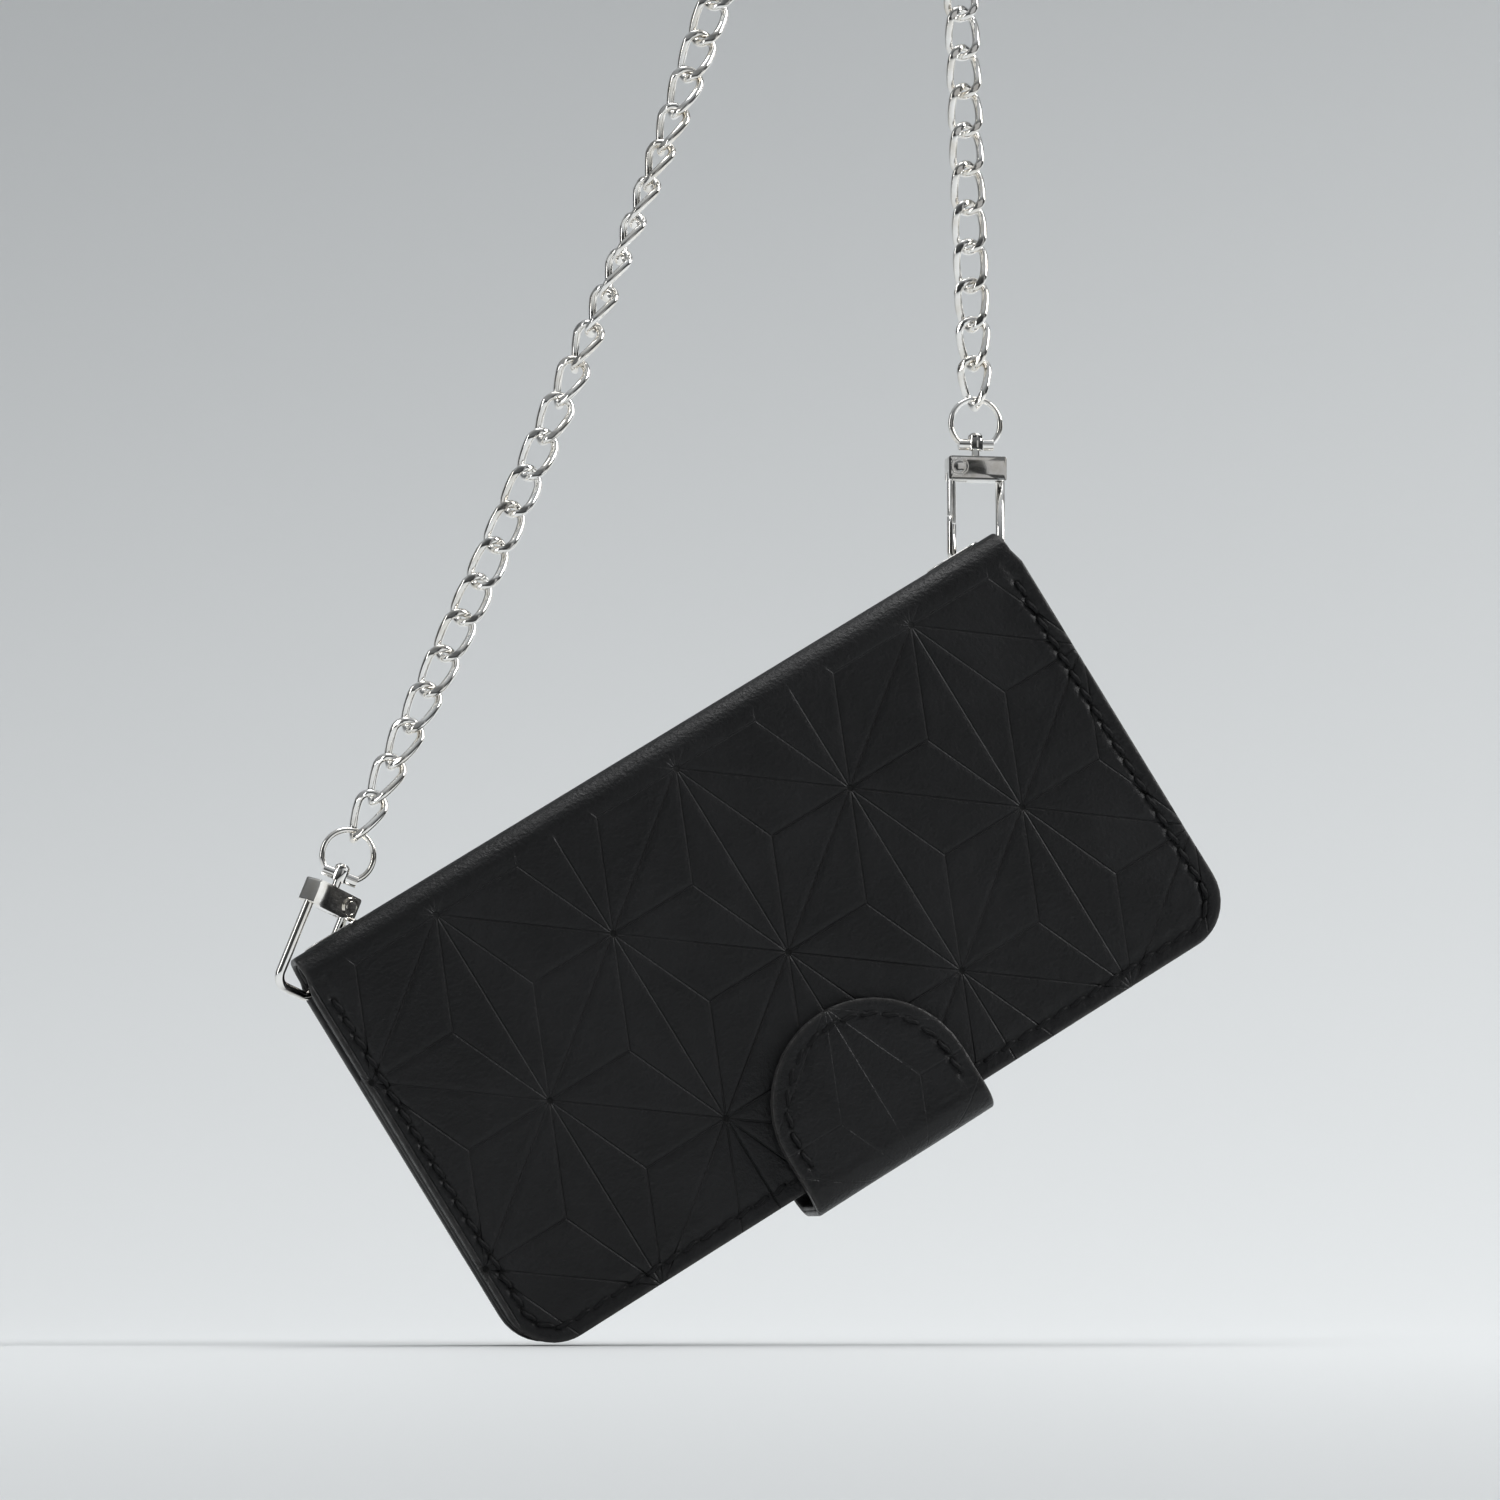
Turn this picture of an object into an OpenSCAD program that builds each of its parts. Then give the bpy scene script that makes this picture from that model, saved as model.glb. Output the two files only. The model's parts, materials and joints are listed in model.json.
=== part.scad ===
// Folding leather wallet that hangs by its spine from a curb chain with two swivel clasps.
// The part frame: X to the right, Y away from the front cover, Z up. The origin is the top of
// the chain's arch, on the inside of its links, where a hand or a peg carries the strap.

/* [Cover] */
// Length of the cover along the spine
cover_length = 160; // [130:1:200]
// Height of the closed cover, from the crown of the spine to the free edge
cover_height = 88; // [74:1:110]
// Depth of the closed wallet over both covers
cover_depth = 16; // [14:0.5:22]
// Radius of the two free corners of each cover
corner_radius = 10; // [4:0.5:16]
// Outer radius of the rolled edges of the spine
spine_radius = 5; // [4:0.25:6]

/* [Leather] */
// Thickness of the outer leather
leather = 1.4; // [1:0.1:2]
// Thickness of the stiffening board in each cover
board = 1; // [0.6:0.1:1.4]
// Thickness of the inner lining leather
lining = 0.7; // [0.4:0.1:1]
// Thickness of the pocket leather
pocket = 0.8; // [0.5:0.1:1]
// Distance from the cover's edge to the line of stitches
stitch_margin = 3.1; // [2:0.1:5]
// Length from one stitch hole to the next
stitch_pitch = 4; // [3:0.1:6]
// Diameter of the thread
thread = 0.7; // [0.4:0.05:0.9]

/* [Pockets] */
// Height of the lowest card pocket above the free edge
first_pocket = 34; // [24:1:40]
// Step from the mouth of one card pocket to the next
pocket_step = 13; // [8:1:16]
// Height of the note pocket above the free edge
note_pocket = 62; // [50:1:66]
// Width of the card column of the pockets
card_column = 94; // [90:1:100]

/* [Closing tab] */
// Width of the tab
tab_width = 40; // [28:1:60]
// How far the tab reaches up the front cover
tab_reach = 27.5; // [22:0.5:36]
// How far the tab stands out below the free edge
tab_bulge = 5.3; // [4:0.1:8]
// How far the tab's root reaches up the back cover
tab_root_reach = 26; // [16:1:34]
// Diameter of the two closing magnets
magnet_diameter = 14; // [8:0.5:18]
// Thickness of the two closing magnets
magnet_thickness = 0.9; // [0.6:0.1:1]

/* [Eyelets] */
// Distance from the cover's end to the middle of an eyelet
eyelet_inset = 9.6; // [8:0.1:14]
// Length of the eyelet's hole
eyelet_length = 9.2; // [8:0.1:9.6]
// Width of the eyelet's hole
eyelet_width = 4; // [3:0.1:4]
// Wall of the eyelet's barrel
eyelet_wall = 0.3; // [0.2:0.05:0.4]
// Width of the eyelet's rim around the barrel
eyelet_rim = 0.8; // [0.6:0.1:0.9]
// Thickness of the eyelet's rim and of its washer
rim_thickness = 0.3; // [0.2:0.05:0.4]

/* [Clasps] */
// Outer diameter of the swivel ring
ring_diameter = 10.8; // [9:0.1:14]
// Wire diameter of the swivel ring
ring_wire = 1.1; // [0.8:0.1:1.4]
// Diameter of the swivel post
post_diameter = 1.6; // [1.2:0.1:2]
// Width of the clasp's block
block_width = 11.4; // [10:0.1:13]
// Height of the clasp's block
block_height = 4.7; // [4:0.1:6]
// Thickness of the clasp's block
block_thickness = 4.2; // [3.6:0.1:5]
// Wire diameter of the clasp's frame and gate
frame_wire = 1.8; // [1.5:0.05:1.9]
// Distance between the frame's two legs, centre to centre
leg_spacing = 9.6; // [8.6:0.1:10.6]
// Length of the frame below the block
frame_drop = 17.1; // [16:0.1:20]
// Height of the frame's nose above the bottom of the frame
nose_height = 8.6; // [6:0.1:9]
// Diameter of the gate's rivet
rivet_diameter = 1.4; // [1:0.1:1.6]

/* [Chain] */
// Width of a link
link_width = 6.9; // [6:0.1:7.6]
// Wire diameter of a link
link_wire = 1.55; // [1.3:0.05:1.7]
// Length from one link to the next, as near as the strap's length allows
link_pitch = 7.7; // [7.5:0.1:9]
// Free play between two linked links
link_play = 0.3; // [0.2:0.05:0.4]
// Turn of a link's wire from one end to the other
link_twist = 90; // [70:1:100]
// Radius of the chain's arch at the top, at the middle of the links
arch_radius = 20; // [16:1:30]

/* [Hanging] */
// Angle of the spine above level
wallet_tilt = 31.9; // [20:0.1:40]
// Lean of the left clasp from upright
left_lean = 21.6; // [10:0.1:30]
// Turn of the left clasp about its own axis
left_turn = 40; // [30:1:45]
// Place of the middle of the wallet from the top of the strap, across
wallet_across = -18.1; // [-30:0.1:0]
// Place of the middle of the wallet from the top of the strap, down
wallet_down = 220.1; // [200:0.1:260]
// Sag of the left run of chain from a straight line
chain_sag = 4.2; // [0:0.1:8]

/* [Hidden] */
$fn = 48;
fit = 0.05;
fold_gap = 0.1;

half_length = cover_length / 2;
half_height = cover_height / 2;
half_depth = cover_depth / 2;

// The covers fold about the middle of the leather, just below the spine's rolled edge
fold_z = half_height - spine_radius - 1;
fold_y = half_depth - leather / 2;
spine_inset = 1;
board_inset = stitch_margin + thread + 1;
wall = leather + board + lining;
groove_width = thread + 0.3;
groove_depth = 0.45;
pocket_inset = 0.4;
note_gap = 0.4;
magnet_z = -half_height + tab_reach - tab_width / 2 + 6;

// The tab: its leather, its own lining and the gap that keeps it off the covers
tab_gap = 0.5;
tab_lining_thickness = 0.8;
tab_thickness = leather + tab_lining_thickness;
tab_front_y = -half_depth - tab_gap;
tab_corner = 4;
tab_bottom = -half_height - tab_bulge;
tab_fold_y = half_depth + tab_thickness / 2;
tab_fold_z = tab_bottom + tab_thickness / 2 + tab_corner;
tab_tip_z = -half_height + tab_reach;

// The clasp's own frame: Z up its axis, X from the solid leg to the gate, and the origin at the
// middle of the swivel ring's wire, at the top of the ring
ring_radius = (ring_diameter - ring_wire) / 2;
collar_height = 2.2;
collar_length = 6.8;
collar_z = -2 * ring_radius + 0.75;
post_head = 3;
post_head_height = 1.1;
block_top = -11.4;
block_bottom = block_top - block_height;
bar_z = block_bottom - frame_drop + frame_wire / 2;
bend = 2.4;
leg_x = leg_spacing / 2;
nose_top = block_bottom - frame_drop + nose_height;
lap = 1.5;
rivet_x = leg_x - 1.2;
rivet_z = block_top - 2.1;
eye_radius = 1.55;
slot_width = 2;
slot_wall = 0.3;
slot_roof = 0.5;
leg_seat = 2;

// Eyelets, on the crown of the spine
eyelet_x = half_length - eyelet_inset;
stack = leather + lining;

// The wallet's place, and the clasps' places where their wires pass through the eyelets
wallet_at = [wallet_across, 0, -wallet_down];
function in_wallet(p) = wallet_at + [
    p[0] * cos(wallet_tilt) - p[2] * sin(wallet_tilt),
    p[1],
    p[0] * sin(wallet_tilt) + p[2] * cos(wallet_tilt)
];
left_side_step = 0.6;
left_axis_y = left_side_step - leg_x * sin(left_turn);
left_gate_depth = 20.5;
left_hole = in_wallet([-eyelet_x, 0, half_height - stack / 2]);
left_top = [
    left_hole[0] - leg_x * cos(left_turn) * cos(left_lean) + left_gate_depth * sin(left_lean),
    left_axis_y,
    left_hole[2] + leg_x * cos(left_turn) * sin(left_lean) + left_gate_depth * cos(left_lean)
];
right_hole = in_wallet([eyelet_x, 0, half_height]);
right_top = [right_hole[0] + leg_x - 0.1, 0, right_hole[2] - bar_z - 1.2];

// The chain's route: the left run, the arch over the top, and the right run
arch_centre = [0, 0, -arch_radius + link_width / 2];
left_arch_angle = 17.5;
right_arch_angle = 1.2;
arch_left = arch_centre + arch_radius * [-cos(left_arch_angle), 0, sin(left_arch_angle)];
arch_right = arch_centre + arch_radius * [cos(right_arch_angle), 0, sin(right_arch_angle)];
left_run = norm(arch_left - left_top);
arch_turn = 180 - left_arch_angle - right_arch_angle;
arch_run = arch_radius * arch_turn * PI / 180;
right_run = norm(right_top - arch_right);
route_length = left_run + arch_run + right_run;
sag_way = [cos(22), 0, -sin(22)];
function left_point(t) = left_top + t * (arch_left - left_top) + 4 * chain_sag * t * (1 - t) * sag_way;
function arch_point(w) = arch_centre + arch_radius * [-cos(left_arch_angle + w), 0, sin(left_arch_angle + w)];
function route(s) =
    s < left_run ? left_point(s / left_run) :
    s < left_run + arch_run ? arch_point((s - left_run) / arch_radius * 180 / PI) :
    arch_right + (s - left_run - arch_run) / right_run * (right_top - arch_right);

// The links: a whole number of them, their length set by the pitch and the play
ring_hold = (ring_wire + link_wire) / 2 + link_play;
link_count = round((route_length - link_wire - link_play + 2 * ring_hold) / link_pitch);
pitch = (route_length - link_wire - link_play + 2 * ring_hold) / link_count;
half_link = (pitch + link_wire + link_play) / 2;
half_width = (link_width - link_wire) / 2;
first_joint = half_link - ring_hold - pitch / 2;
function joint_point(i) = route(first_joint + i * pitch);
arch_first = round((left_run - first_joint) / pitch);
arch_end = round((left_run + arch_run - first_joint) / pitch);
left_middle = round(arch_first / 2);
right_middle = round((arch_end + link_count) / 2);

// How far each link is rolled from facing the front: edge on at the rings, then slowly turning
left_face_run = 62;
right_face_run = 45;
turn_run = 125;
function left_roll(s) =
    s < left_face_run ? -link_twist / 4 * (1 + cos(180 * s / left_face_run)) :
    -40 * (1 - cos(360 * (s - left_face_run) / turn_run));
function right_roll(s) = s < right_face_run ? link_twist / 4 * (1 + cos(180 * s / right_face_run)) : 0;
function roll_at(s) =
    s < left_run ? left_roll(s) :
    s < left_run + arch_run ? left_roll(left_run) * (1 - (s - left_run) / arch_run) :
    right_roll(route_length - s);

// ---------- shared shapes ----------

module at_wallet() {
    translate(wallet_at) rotate([0, -wallet_tilt, 0]) children();
}

// A flat sheet in the plane of the covers, from y to y + thickness
module sheet(y, thickness) {
    translate([0, y + thickness, 0]) rotate([90, 0, 0]) linear_extrude(thickness) children();
}

// A section in the plane across the spine, drawn as [y, z] and run along the spine
module along_spine(length) {
    translate([-length / 2, 0, 0]) rotate([90, 0, 90]) linear_extrude(length) children();
}

// Outline of a cover: square at the spine and round at the two free corners
module cover_outline(inset, top) {
    r = corner_radius - inset;
    w = half_length - inset;
    low = -half_height + inset;
    translate([-w, low + r]) square([2 * w, top - low - r]);
    translate([r - w, low]) square([2 * w - 2 * r, 2 * r]);
    translate([r - w, low + r]) circle(r);
    translate([w - r, low + r]) circle(r);
}

// Closed shape of the spine's rolled top, with its round edges at half_width_y
module rolled_top(half_width_y, r, top, low) {
    intersection() {
        translate([-half_width_y, low]) square([2 * half_width_y, top - low]);
        union() {
            translate([-half_width_y, low - 1]) square([2 * half_width_y, top - low + 1 - r]);
            translate([r - half_width_y, low - 1]) square([2 * half_width_y - 2 * r, top - low + 1]);
            translate([r - half_width_y, top - r]) circle(r);
            translate([half_width_y - r, top - r]) circle(r);
        }
    }
}

module oval(length, width) {
    square([length - width, width], center = true);
    translate([-(length - width) / 2, 0]) circle(width / 2);
    translate([(length - width) / 2, 0]) circle(width / 2);
}

module stitch_channel(top) {
    difference() {
        cover_outline(stitch_margin - groove_width / 2, top);
        translate([0, 0.01]) cover_outline(stitch_margin + groove_width / 2, top);
    }
}

// Places along a cover's stitch line, as [x, z, angle], down one end, along the edge and up
stitch_top = fold_z - 2;
stitch_arc = corner_radius - stitch_margin;
side_low = -half_height + corner_radius;
side_count = floor((stitch_top - side_low) / stitch_pitch);
edge_half = half_length - corner_radius;
edge_count = round(2 * edge_half / stitch_pitch);
corner_count = round(stitch_arc * PI / 2 / stitch_pitch);
side_x = half_length - stitch_margin;
function cover_stitches() = concat(
    [for (e = [-1, 1]) for (i = [0 : side_count - 1]) [e * side_x, side_low + (i + 0.5) * stitch_pitch, 90]],
    [for (i = [0 : edge_count - 1])
        [-edge_half + (i + 0.5) * 2 * edge_half / edge_count, -half_height + stitch_margin, 0]],
    [for (e = [-1, 1]) for (i = [0 : corner_count - 1]) let (w = (i + 0.5) * 90 / corner_count)
        [e * (edge_half + stitch_arc * cos(w)), side_low - stitch_arc * sin(w), e * (90 - w)]]
);

// One stitch: a short run of thread lying flat on the leather
module stitch(x, y, z, angle, length) {
    translate([x, y, z]) rotate([0, 90 - angle, 0]) cylinder(d = thread, h = length, center = true, $fn = 16);
}

stitch_length = stitch_pitch - 1;

module leather_black() { color([0.05, 0.05, 0.055]) children(); }
module lining_black() { color([0.09, 0.09, 0.095]) children(); }
module thread_black() { color([0.02, 0.02, 0.02]) children(); }
module nickel() { color([0.8, 0.8, 0.79]) children(); }

// ---------- covers ----------

// side is -1 for the front cover and 1 for the back cover
module cover_leather(side) {
    outer = side < 0 ? -half_depth : half_depth - leather;
    groove = side < 0 ? -half_depth - 1 : half_depth - groove_depth;
    difference() {
        union() {
            sheet(outer, leather) cover_outline(0, fold_z);
            translate([0, side * fold_y, fold_z]) rotate([0, 90, 0]) cylinder(d = leather, h = cover_length, center = true);
        }
        sheet(groove, 1 + groove_depth) stitch_channel(stitch_top);
    }
}

module cover_board(side) {
    y = side < 0 ? -half_depth + leather : half_depth - leather - board;
    difference() {
        sheet(y, board) cover_outline(board_inset, fold_z - 4);
        if (side < 0) {
            translate([0, y, magnet_z]) rotate([-90, 0, 0]) cylinder(d = magnet_diameter + 0.4, h = board);
        }
    }
}

module cover_lining(side) {
    y = side < 0 ? -half_depth + leather : half_depth - wall;
    hollow = side < 0 ? y : half_depth - leather - board;
    difference() {
        sheet(y, board + lining) cover_outline(0, fold_z - 1.5);
        sheet(hollow, board) cover_outline(board_inset, fold_z - 4);
    }
}

module front_cover() { at_wallet() leather_black() cover_leather(-1); }
module front_board() { at_wallet() color([0.35, 0.3, 0.25]) cover_board(-1); }
module front_lining() { at_wallet() lining_black() cover_lining(-1); }
module back_cover() { at_wallet() leather_black() cover_leather(1); }
module back_board() { at_wallet() color([0.35, 0.3, 0.25]) cover_board(1); }
module back_lining() { at_wallet() lining_black() cover_lining(1); }

// A card pocket: layer 0 lies on the lining, and each later one is a step shorter
module card_pocket(layer) {
    mouth = -half_height + first_pocket + (2 - layer) * pocket_step;
    at_wallet() lining_black() difference() {
        sheet(-half_depth + wall + layer * pocket, pocket) cover_outline(pocket_inset, mouth);
        if (layer == 2) {
            translate([card_column / 2 - half_length + 5, 0, mouth]) rotate([90, 0, 0])
                cylinder(r = 9, h = cover_depth, center = true);
        }
    }
}

module card_pocket_rear() { card_pocket(0); }
module card_pocket_middle() { card_pocket(1); }
module card_pocket_front() { card_pocket(2); }

// The note pocket: a panel held off the lining by its own rim, open towards the spine
module note_pocket_panel() {
    mouth = -half_height + note_pocket;
    y = half_depth - wall - note_gap - pocket;
    at_wallet() lining_black() difference() {
        sheet(y, pocket + note_gap) cover_outline(pocket_inset, mouth);
        sheet(y + pocket, note_gap) cover_outline(stitch_margin + 2, mouth + 1);
        translate([0, 0, mouth + 4]) rotate([90, 0, 0]) cylinder(r = 12, h = cover_depth * 2, center = true);
    }
}

module cover_magnet() {
    at_wallet() color([0.55, 0.55, 0.58])
        translate([0, -half_depth + leather, magnet_z]) rotate([-90, 0, 0])
        cylinder(d = magnet_diameter, h = magnet_thickness);
}

module cover_stitching(side) {
    outer = side * (half_depth - groove_depth + thread / 2 + 0.01);
    for (s = cover_stitches()) {
        if (side < 0 || abs(s[0]) > tab_width / 2 + 2 || s[1] > root_top) {
            stitch(s[0], outer, s[1], s[2], stitch_length);
        }
        layers = side > 0 ? (s[1] > -half_height + note_pocket ? 0 : 1) :
            len([for (k = [0 : 2]) if (s[1] + 3 < -half_height + first_pocket + k * pocket_step) 1]);
        near = side > 0 ? (s[1] + 3 > -half_height + note_pocket && layers == 1) :
            len([for (k = [0 : 2]) if (abs(s[1] + half_height - first_pocket - k * pocket_step) <= 3) 1]) > 0;
        inner = side > 0 ? half_depth - wall - layers * (note_gap + pocket) : -half_depth + wall + layers * pocket;
        if (!near) {
            stitch(s[0], inner - side * (thread / 2 + 0.01), s[1], s[2], stitch_length);
        }
    }
}

module front_stitching() { at_wallet() thread_black() cover_stitching(-1); }
module back_stitching() { at_wallet() thread_black() cover_stitching(1); }

// ---------- spine and eyelets ----------

module eyelet_holes(extra) {
    for (e = [-1, 1]) {
        translate([e * eyelet_x, 0, half_height - cover_depth / 2])
            linear_extrude(cover_depth) oval(eyelet_length + 2 * extra, eyelet_width + 2 * extra);
    }
}

module spine() {
    low = fold_z + leather / 2 + fold_gap;
    at_wallet() leather_black() difference() {
        along_spine(cover_length - 2 * spine_inset) rolled_top(half_depth, spine_radius, half_height, low);
        along_spine(cover_length)
            rolled_top(half_depth - leather, spine_radius - leather, half_height - leather, low - 1);
        eyelet_holes(eyelet_wall);
    }
}

module spine_lining() {
    low = fold_z + leather / 2 + fold_gap;
    inner = half_depth - leather - lining;
    at_wallet() lining_black() difference() {
        along_spine(cover_length - 2 * spine_inset - 1)
            rolled_top(half_depth - leather, spine_radius - leather, half_height - leather, low);
        along_spine(cover_length) rolled_top(inner, spine_radius - stack, half_height - stack, low - 1);
        eyelet_holes(eyelet_wall);
    }
}

module eyelet(side) {
    outer_length = eyelet_length + 2 * eyelet_wall;
    outer_width = eyelet_width + 2 * eyelet_wall;
    at_wallet() nickel() translate([side * eyelet_x, 0, 0]) difference() {
        union() {
            translate([0, 0, half_height - stack - rim_thickness])
                linear_extrude(stack + 2 * rim_thickness) oval(outer_length, outer_width);
            translate([0, 0, half_height]) linear_extrude(rim_thickness)
                oval(outer_length + 2 * eyelet_rim, outer_width + 2 * eyelet_rim);
        }
        translate([0, 0, half_height - cover_depth / 2]) linear_extrude(cover_depth)
            oval(eyelet_length, eyelet_width);
    }
}

module eyelet_washer(side) {
    outer_length = eyelet_length + 2 * eyelet_wall;
    outer_width = eyelet_width + 2 * eyelet_wall;
    at_wallet() nickel() translate([side * eyelet_x, 0, half_height - stack - rim_thickness])
        linear_extrude(rim_thickness) difference() {
            oval(outer_length + 2 * eyelet_rim, outer_width + 2 * eyelet_rim);
            oval(outer_length, outer_width);
        }
}

module left_eyelet() { eyelet(-1); }
module right_eyelet() { eyelet(1); }
module left_eyelet_washer() { eyelet_washer(-1); }
module right_eyelet_washer() { eyelet_washer(1); }

// ---------- closing tab ----------

// Section of the tab's band between two depths inside it, as [y, z]
module tab_section(from, to) {
    module ring(inset) {
        w = (half_depth + tab_thickness - tab_front_y + tab_thickness) / 2 - inset;
        r = tab_corner + tab_thickness / 2 - inset;
        middle = (half_depth + tab_front_y) / 2;
        low = tab_bottom + inset;
        translate([middle - w, low + r]) square([2 * w, cover_height]);
        translate([middle - w + r, low]) square([2 * w - 2 * r, cover_height]);
        translate([middle - w + r, low + r]) circle(r);
        translate([middle + w - r, low + r]) circle(r);
    }
    difference() {
        ring(from);
        translate([0, 0.001]) ring(to);
    }
}

// Outline of the tab seen from the front, with its round tip
module tab_outline(inset) {
    r = tab_width / 2 - inset;
    translate([-r, tab_bottom - 1]) square([2 * r, tab_tip_z - tab_width / 2 - tab_bottom + 1]);
    translate([0, tab_tip_z - tab_width / 2]) circle(r);
}

// The moving part of a band: from the fold at the back edge round to the tip at the front
module flap_band(from, to) {
    intersection() {
        along_spine(tab_width) tab_section(from, to);
        sheet(-cover_depth, cover_depth * 3) tab_outline(0);
        union() {
            translate([-tab_width, -cover_depth * 2, tab_bottom - 1])
                cube([2 * tab_width, cover_depth * 2 + 2, cover_height]);
            translate([-tab_width, 0, tab_bottom - 1])
                cube([2 * tab_width, cover_depth * 2, tab_fold_z - tab_bottom + 1]);
        }
    }
}

module tab_flap() {
    at_wallet() leather_black() difference() {
        union() {
            flap_band(0, leather);
            translate([0, tab_fold_y, tab_fold_z]) rotate([0, 90, 0])
                cylinder(d = tab_thickness, h = tab_width, center = true);
        }
        translate([0, tab_front_y - tab_lining_thickness - magnet_thickness / 2, magnet_z]) rotate([-90, 0, 0])
            cylinder(d = magnet_diameter, h = magnet_thickness);
    }
}

module tab_lining() {
    at_wallet() lining_black() difference() {
        flap_band(leather, tab_thickness);
        translate([0, tab_fold_y, tab_fold_z]) rotate([0, 90, 0])
            cylinder(d = tab_thickness + 0.02, h = tab_width + 2, center = true);
        translate([0, tab_front_y - tab_lining_thickness - magnet_thickness / 2, magnet_z]) rotate([-90, 0, 0])
            cylinder(d = magnet_diameter, h = magnet_thickness);
    }
}

module tab_magnet() {
    at_wallet() color([0.55, 0.55, 0.58])
        translate([0, tab_front_y - tab_lining_thickness - magnet_thickness / 2, magnet_z]) rotate([-90, 0, 0])
        cylinder(d = magnet_diameter, h = magnet_thickness);
}

root_top = -half_height + tab_root_reach;

module tab_root() {
    low = tab_fold_z + tab_thickness / 2 + fold_gap;
    at_wallet() leather_black() sheet(half_depth, tab_thickness) {
        translate([-tab_width / 2, low]) square([tab_width, root_top - low - 4]);
        translate([-tab_width / 2 + 4, root_top - 8]) square([tab_width - 8, 8]);
        for (e = [-1, 1]) translate([e * (tab_width / 2 - 4), root_top - 4]) circle(4);
    }
}

module root_stitching() {
    y = half_depth + tab_thickness + thread / 2 + 0.01;
    low = tab_fold_z + tab_thickness / 2 + 2;
    x = tab_width / 2 - stitch_margin;
    rows = floor((root_top - stitch_margin - low) / stitch_pitch);
    columns = round(2 * x / stitch_pitch);
    at_wallet() thread_black() {
        for (e = [-1, 1]) for (i = [0 : rows - 1]) stitch(e * x, y, low + (i + 0.5) * stitch_pitch, 90, stitch_length);
        for (i = [0 : columns - 1]) {
            stitch(-x + (i + 0.5) * 2 * x / columns, y, root_top - stitch_margin, 0, stitch_length);
        }
    }
}

module tab_stitching() {
    y = tab_front_y - tab_thickness - thread / 2 - 0.01;
    r = tab_width / 2 - stitch_margin;
    z = tab_tip_z - tab_width / 2;
    count = round(PI * r / stitch_pitch);
    side = floor((z - tab_fold_z) / stitch_pitch);
    at_wallet() thread_black() {
        for (i = [0 : count - 1]) {
            w = (i + 0.5) * 180 / count;
            stitch(r * cos(w), y, z + r * sin(w), w - 90, stitch_length);
        }
        for (e = [-1, 1]) for (i = [0 : 1 : side - 1]) stitch(e * r, y, z - (i + 0.5) * stitch_pitch, 90, stitch_length);
    }
}

// ---------- clasps ----------

// side is -1 for the left clasp and 1 for the right one, whose gate faces the other way
module at_left_clasp() {
    translate(left_top) rotate([0, left_lean, 0]) rotate([0, 0, left_turn]) children();
}
module at_right_clasp() { translate(right_top) rotate([0, 0, 180]) children(); }
module at_left_ring() { translate(left_top) rotate([0, left_lean, 0]) children(); }
module at_right_ring() { translate(right_top) children(); }

module swivel_ring() {
    nickel() difference() {
        union() {
            translate([0, 0, -ring_radius]) rotate([90, 0, 0])
                rotate_extrude() translate([ring_radius, 0]) circle(ring_wire / 2);
            translate([0, 0, collar_z]) rotate([0, 90, 0])
                cylinder(d = collar_height, h = collar_length, center = true);
            translate([0, 0, collar_z - collar_height / 2]) cylinder(d = 3.2, h = collar_height);
        }
        translate([0, 0, collar_z]) cylinder(d = post_diameter + 2 * fit, h = 6, center = true);
    }
}

module swivel_post() {
    head_z = collar_z + collar_height / 2 + fit;
    nickel() {
        translate([0, 0, head_z]) cylinder(d = post_head, h = post_head_height - 0.5);
        translate([0, 0, head_z + post_head_height - 0.5]) cylinder(d1 = post_head, d2 = post_head - 1.2, h = 0.5);
        translate([0, 0, block_top - leg_seat]) cylinder(d = post_diameter, h = head_z - block_top + leg_seat);
    }
}

module block_outline() {
    r = 0.5;
    w = block_width / 2;
    translate([-w, block_bottom + r]) square([2 * w, block_height - 2 * r]);
    translate([r - w, block_bottom]) square([2 * w - 2 * r, block_height]);
    for (x = [r - w, w - r]) for (z = [block_bottom + r, block_top - r]) translate([x, z]) circle(r);
}

module clasp_block() {
    slot_left = rivet_x - eye_radius - 0.25;
    nickel() difference() {
        sheet(-block_thickness / 2, block_thickness) block_outline();
        translate([0, 0, block_top - leg_seat]) cylinder(d = post_diameter, h = 6);
        translate([-leg_x, 0, block_bottom - 1]) cylinder(d = frame_wire, h = leg_seat + 1);
        translate([slot_left, -slot_width / 2, block_bottom - 1])
            cube([block_width / 2 - slot_left - slot_wall, slot_width, 1 + block_height - slot_roof]);
        translate([rivet_x, 0, rivet_z]) rotate([90, 0, 0]) cylinder(d = rivet_diameter, h = 10, center = true);
        translate([block_width / 2 - 1, -slot_width / 2, block_bottom - 1]) cube([2, slot_width, 2.6]);
    }
}

module clasp_frame() {
    straight_low = bar_z + bend;
    nickel() {
        translate([-leg_x, 0, straight_low]) cylinder(d = frame_wire, h = block_bottom + leg_seat - straight_low);
        translate([bend - leg_x, 0, straight_low]) rotate([0, 180, 0]) quarter_bend();
        translate([0, 0, bar_z]) rotate([0, 90, 0])
            cylinder(d = frame_wire, h = leg_spacing - 2 * bend, center = true);
        translate([leg_x - bend, 0, straight_low]) mirror([1, 0, 0]) rotate([0, 180, 0]) quarter_bend();
        translate([leg_x, 0, straight_low]) cylinder(d = frame_wire, h = nose_top - straight_low);
        intersection() {
            translate([leg_x, 0, nose_top - 1]) cylinder(d = frame_wire, h = 1 + lap);
            translate([leg_x + 0.1, -frame_wire, nose_top - 1]) cube([frame_wire, 2 * frame_wire, 1 + lap]);
        }
    }
}

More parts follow.
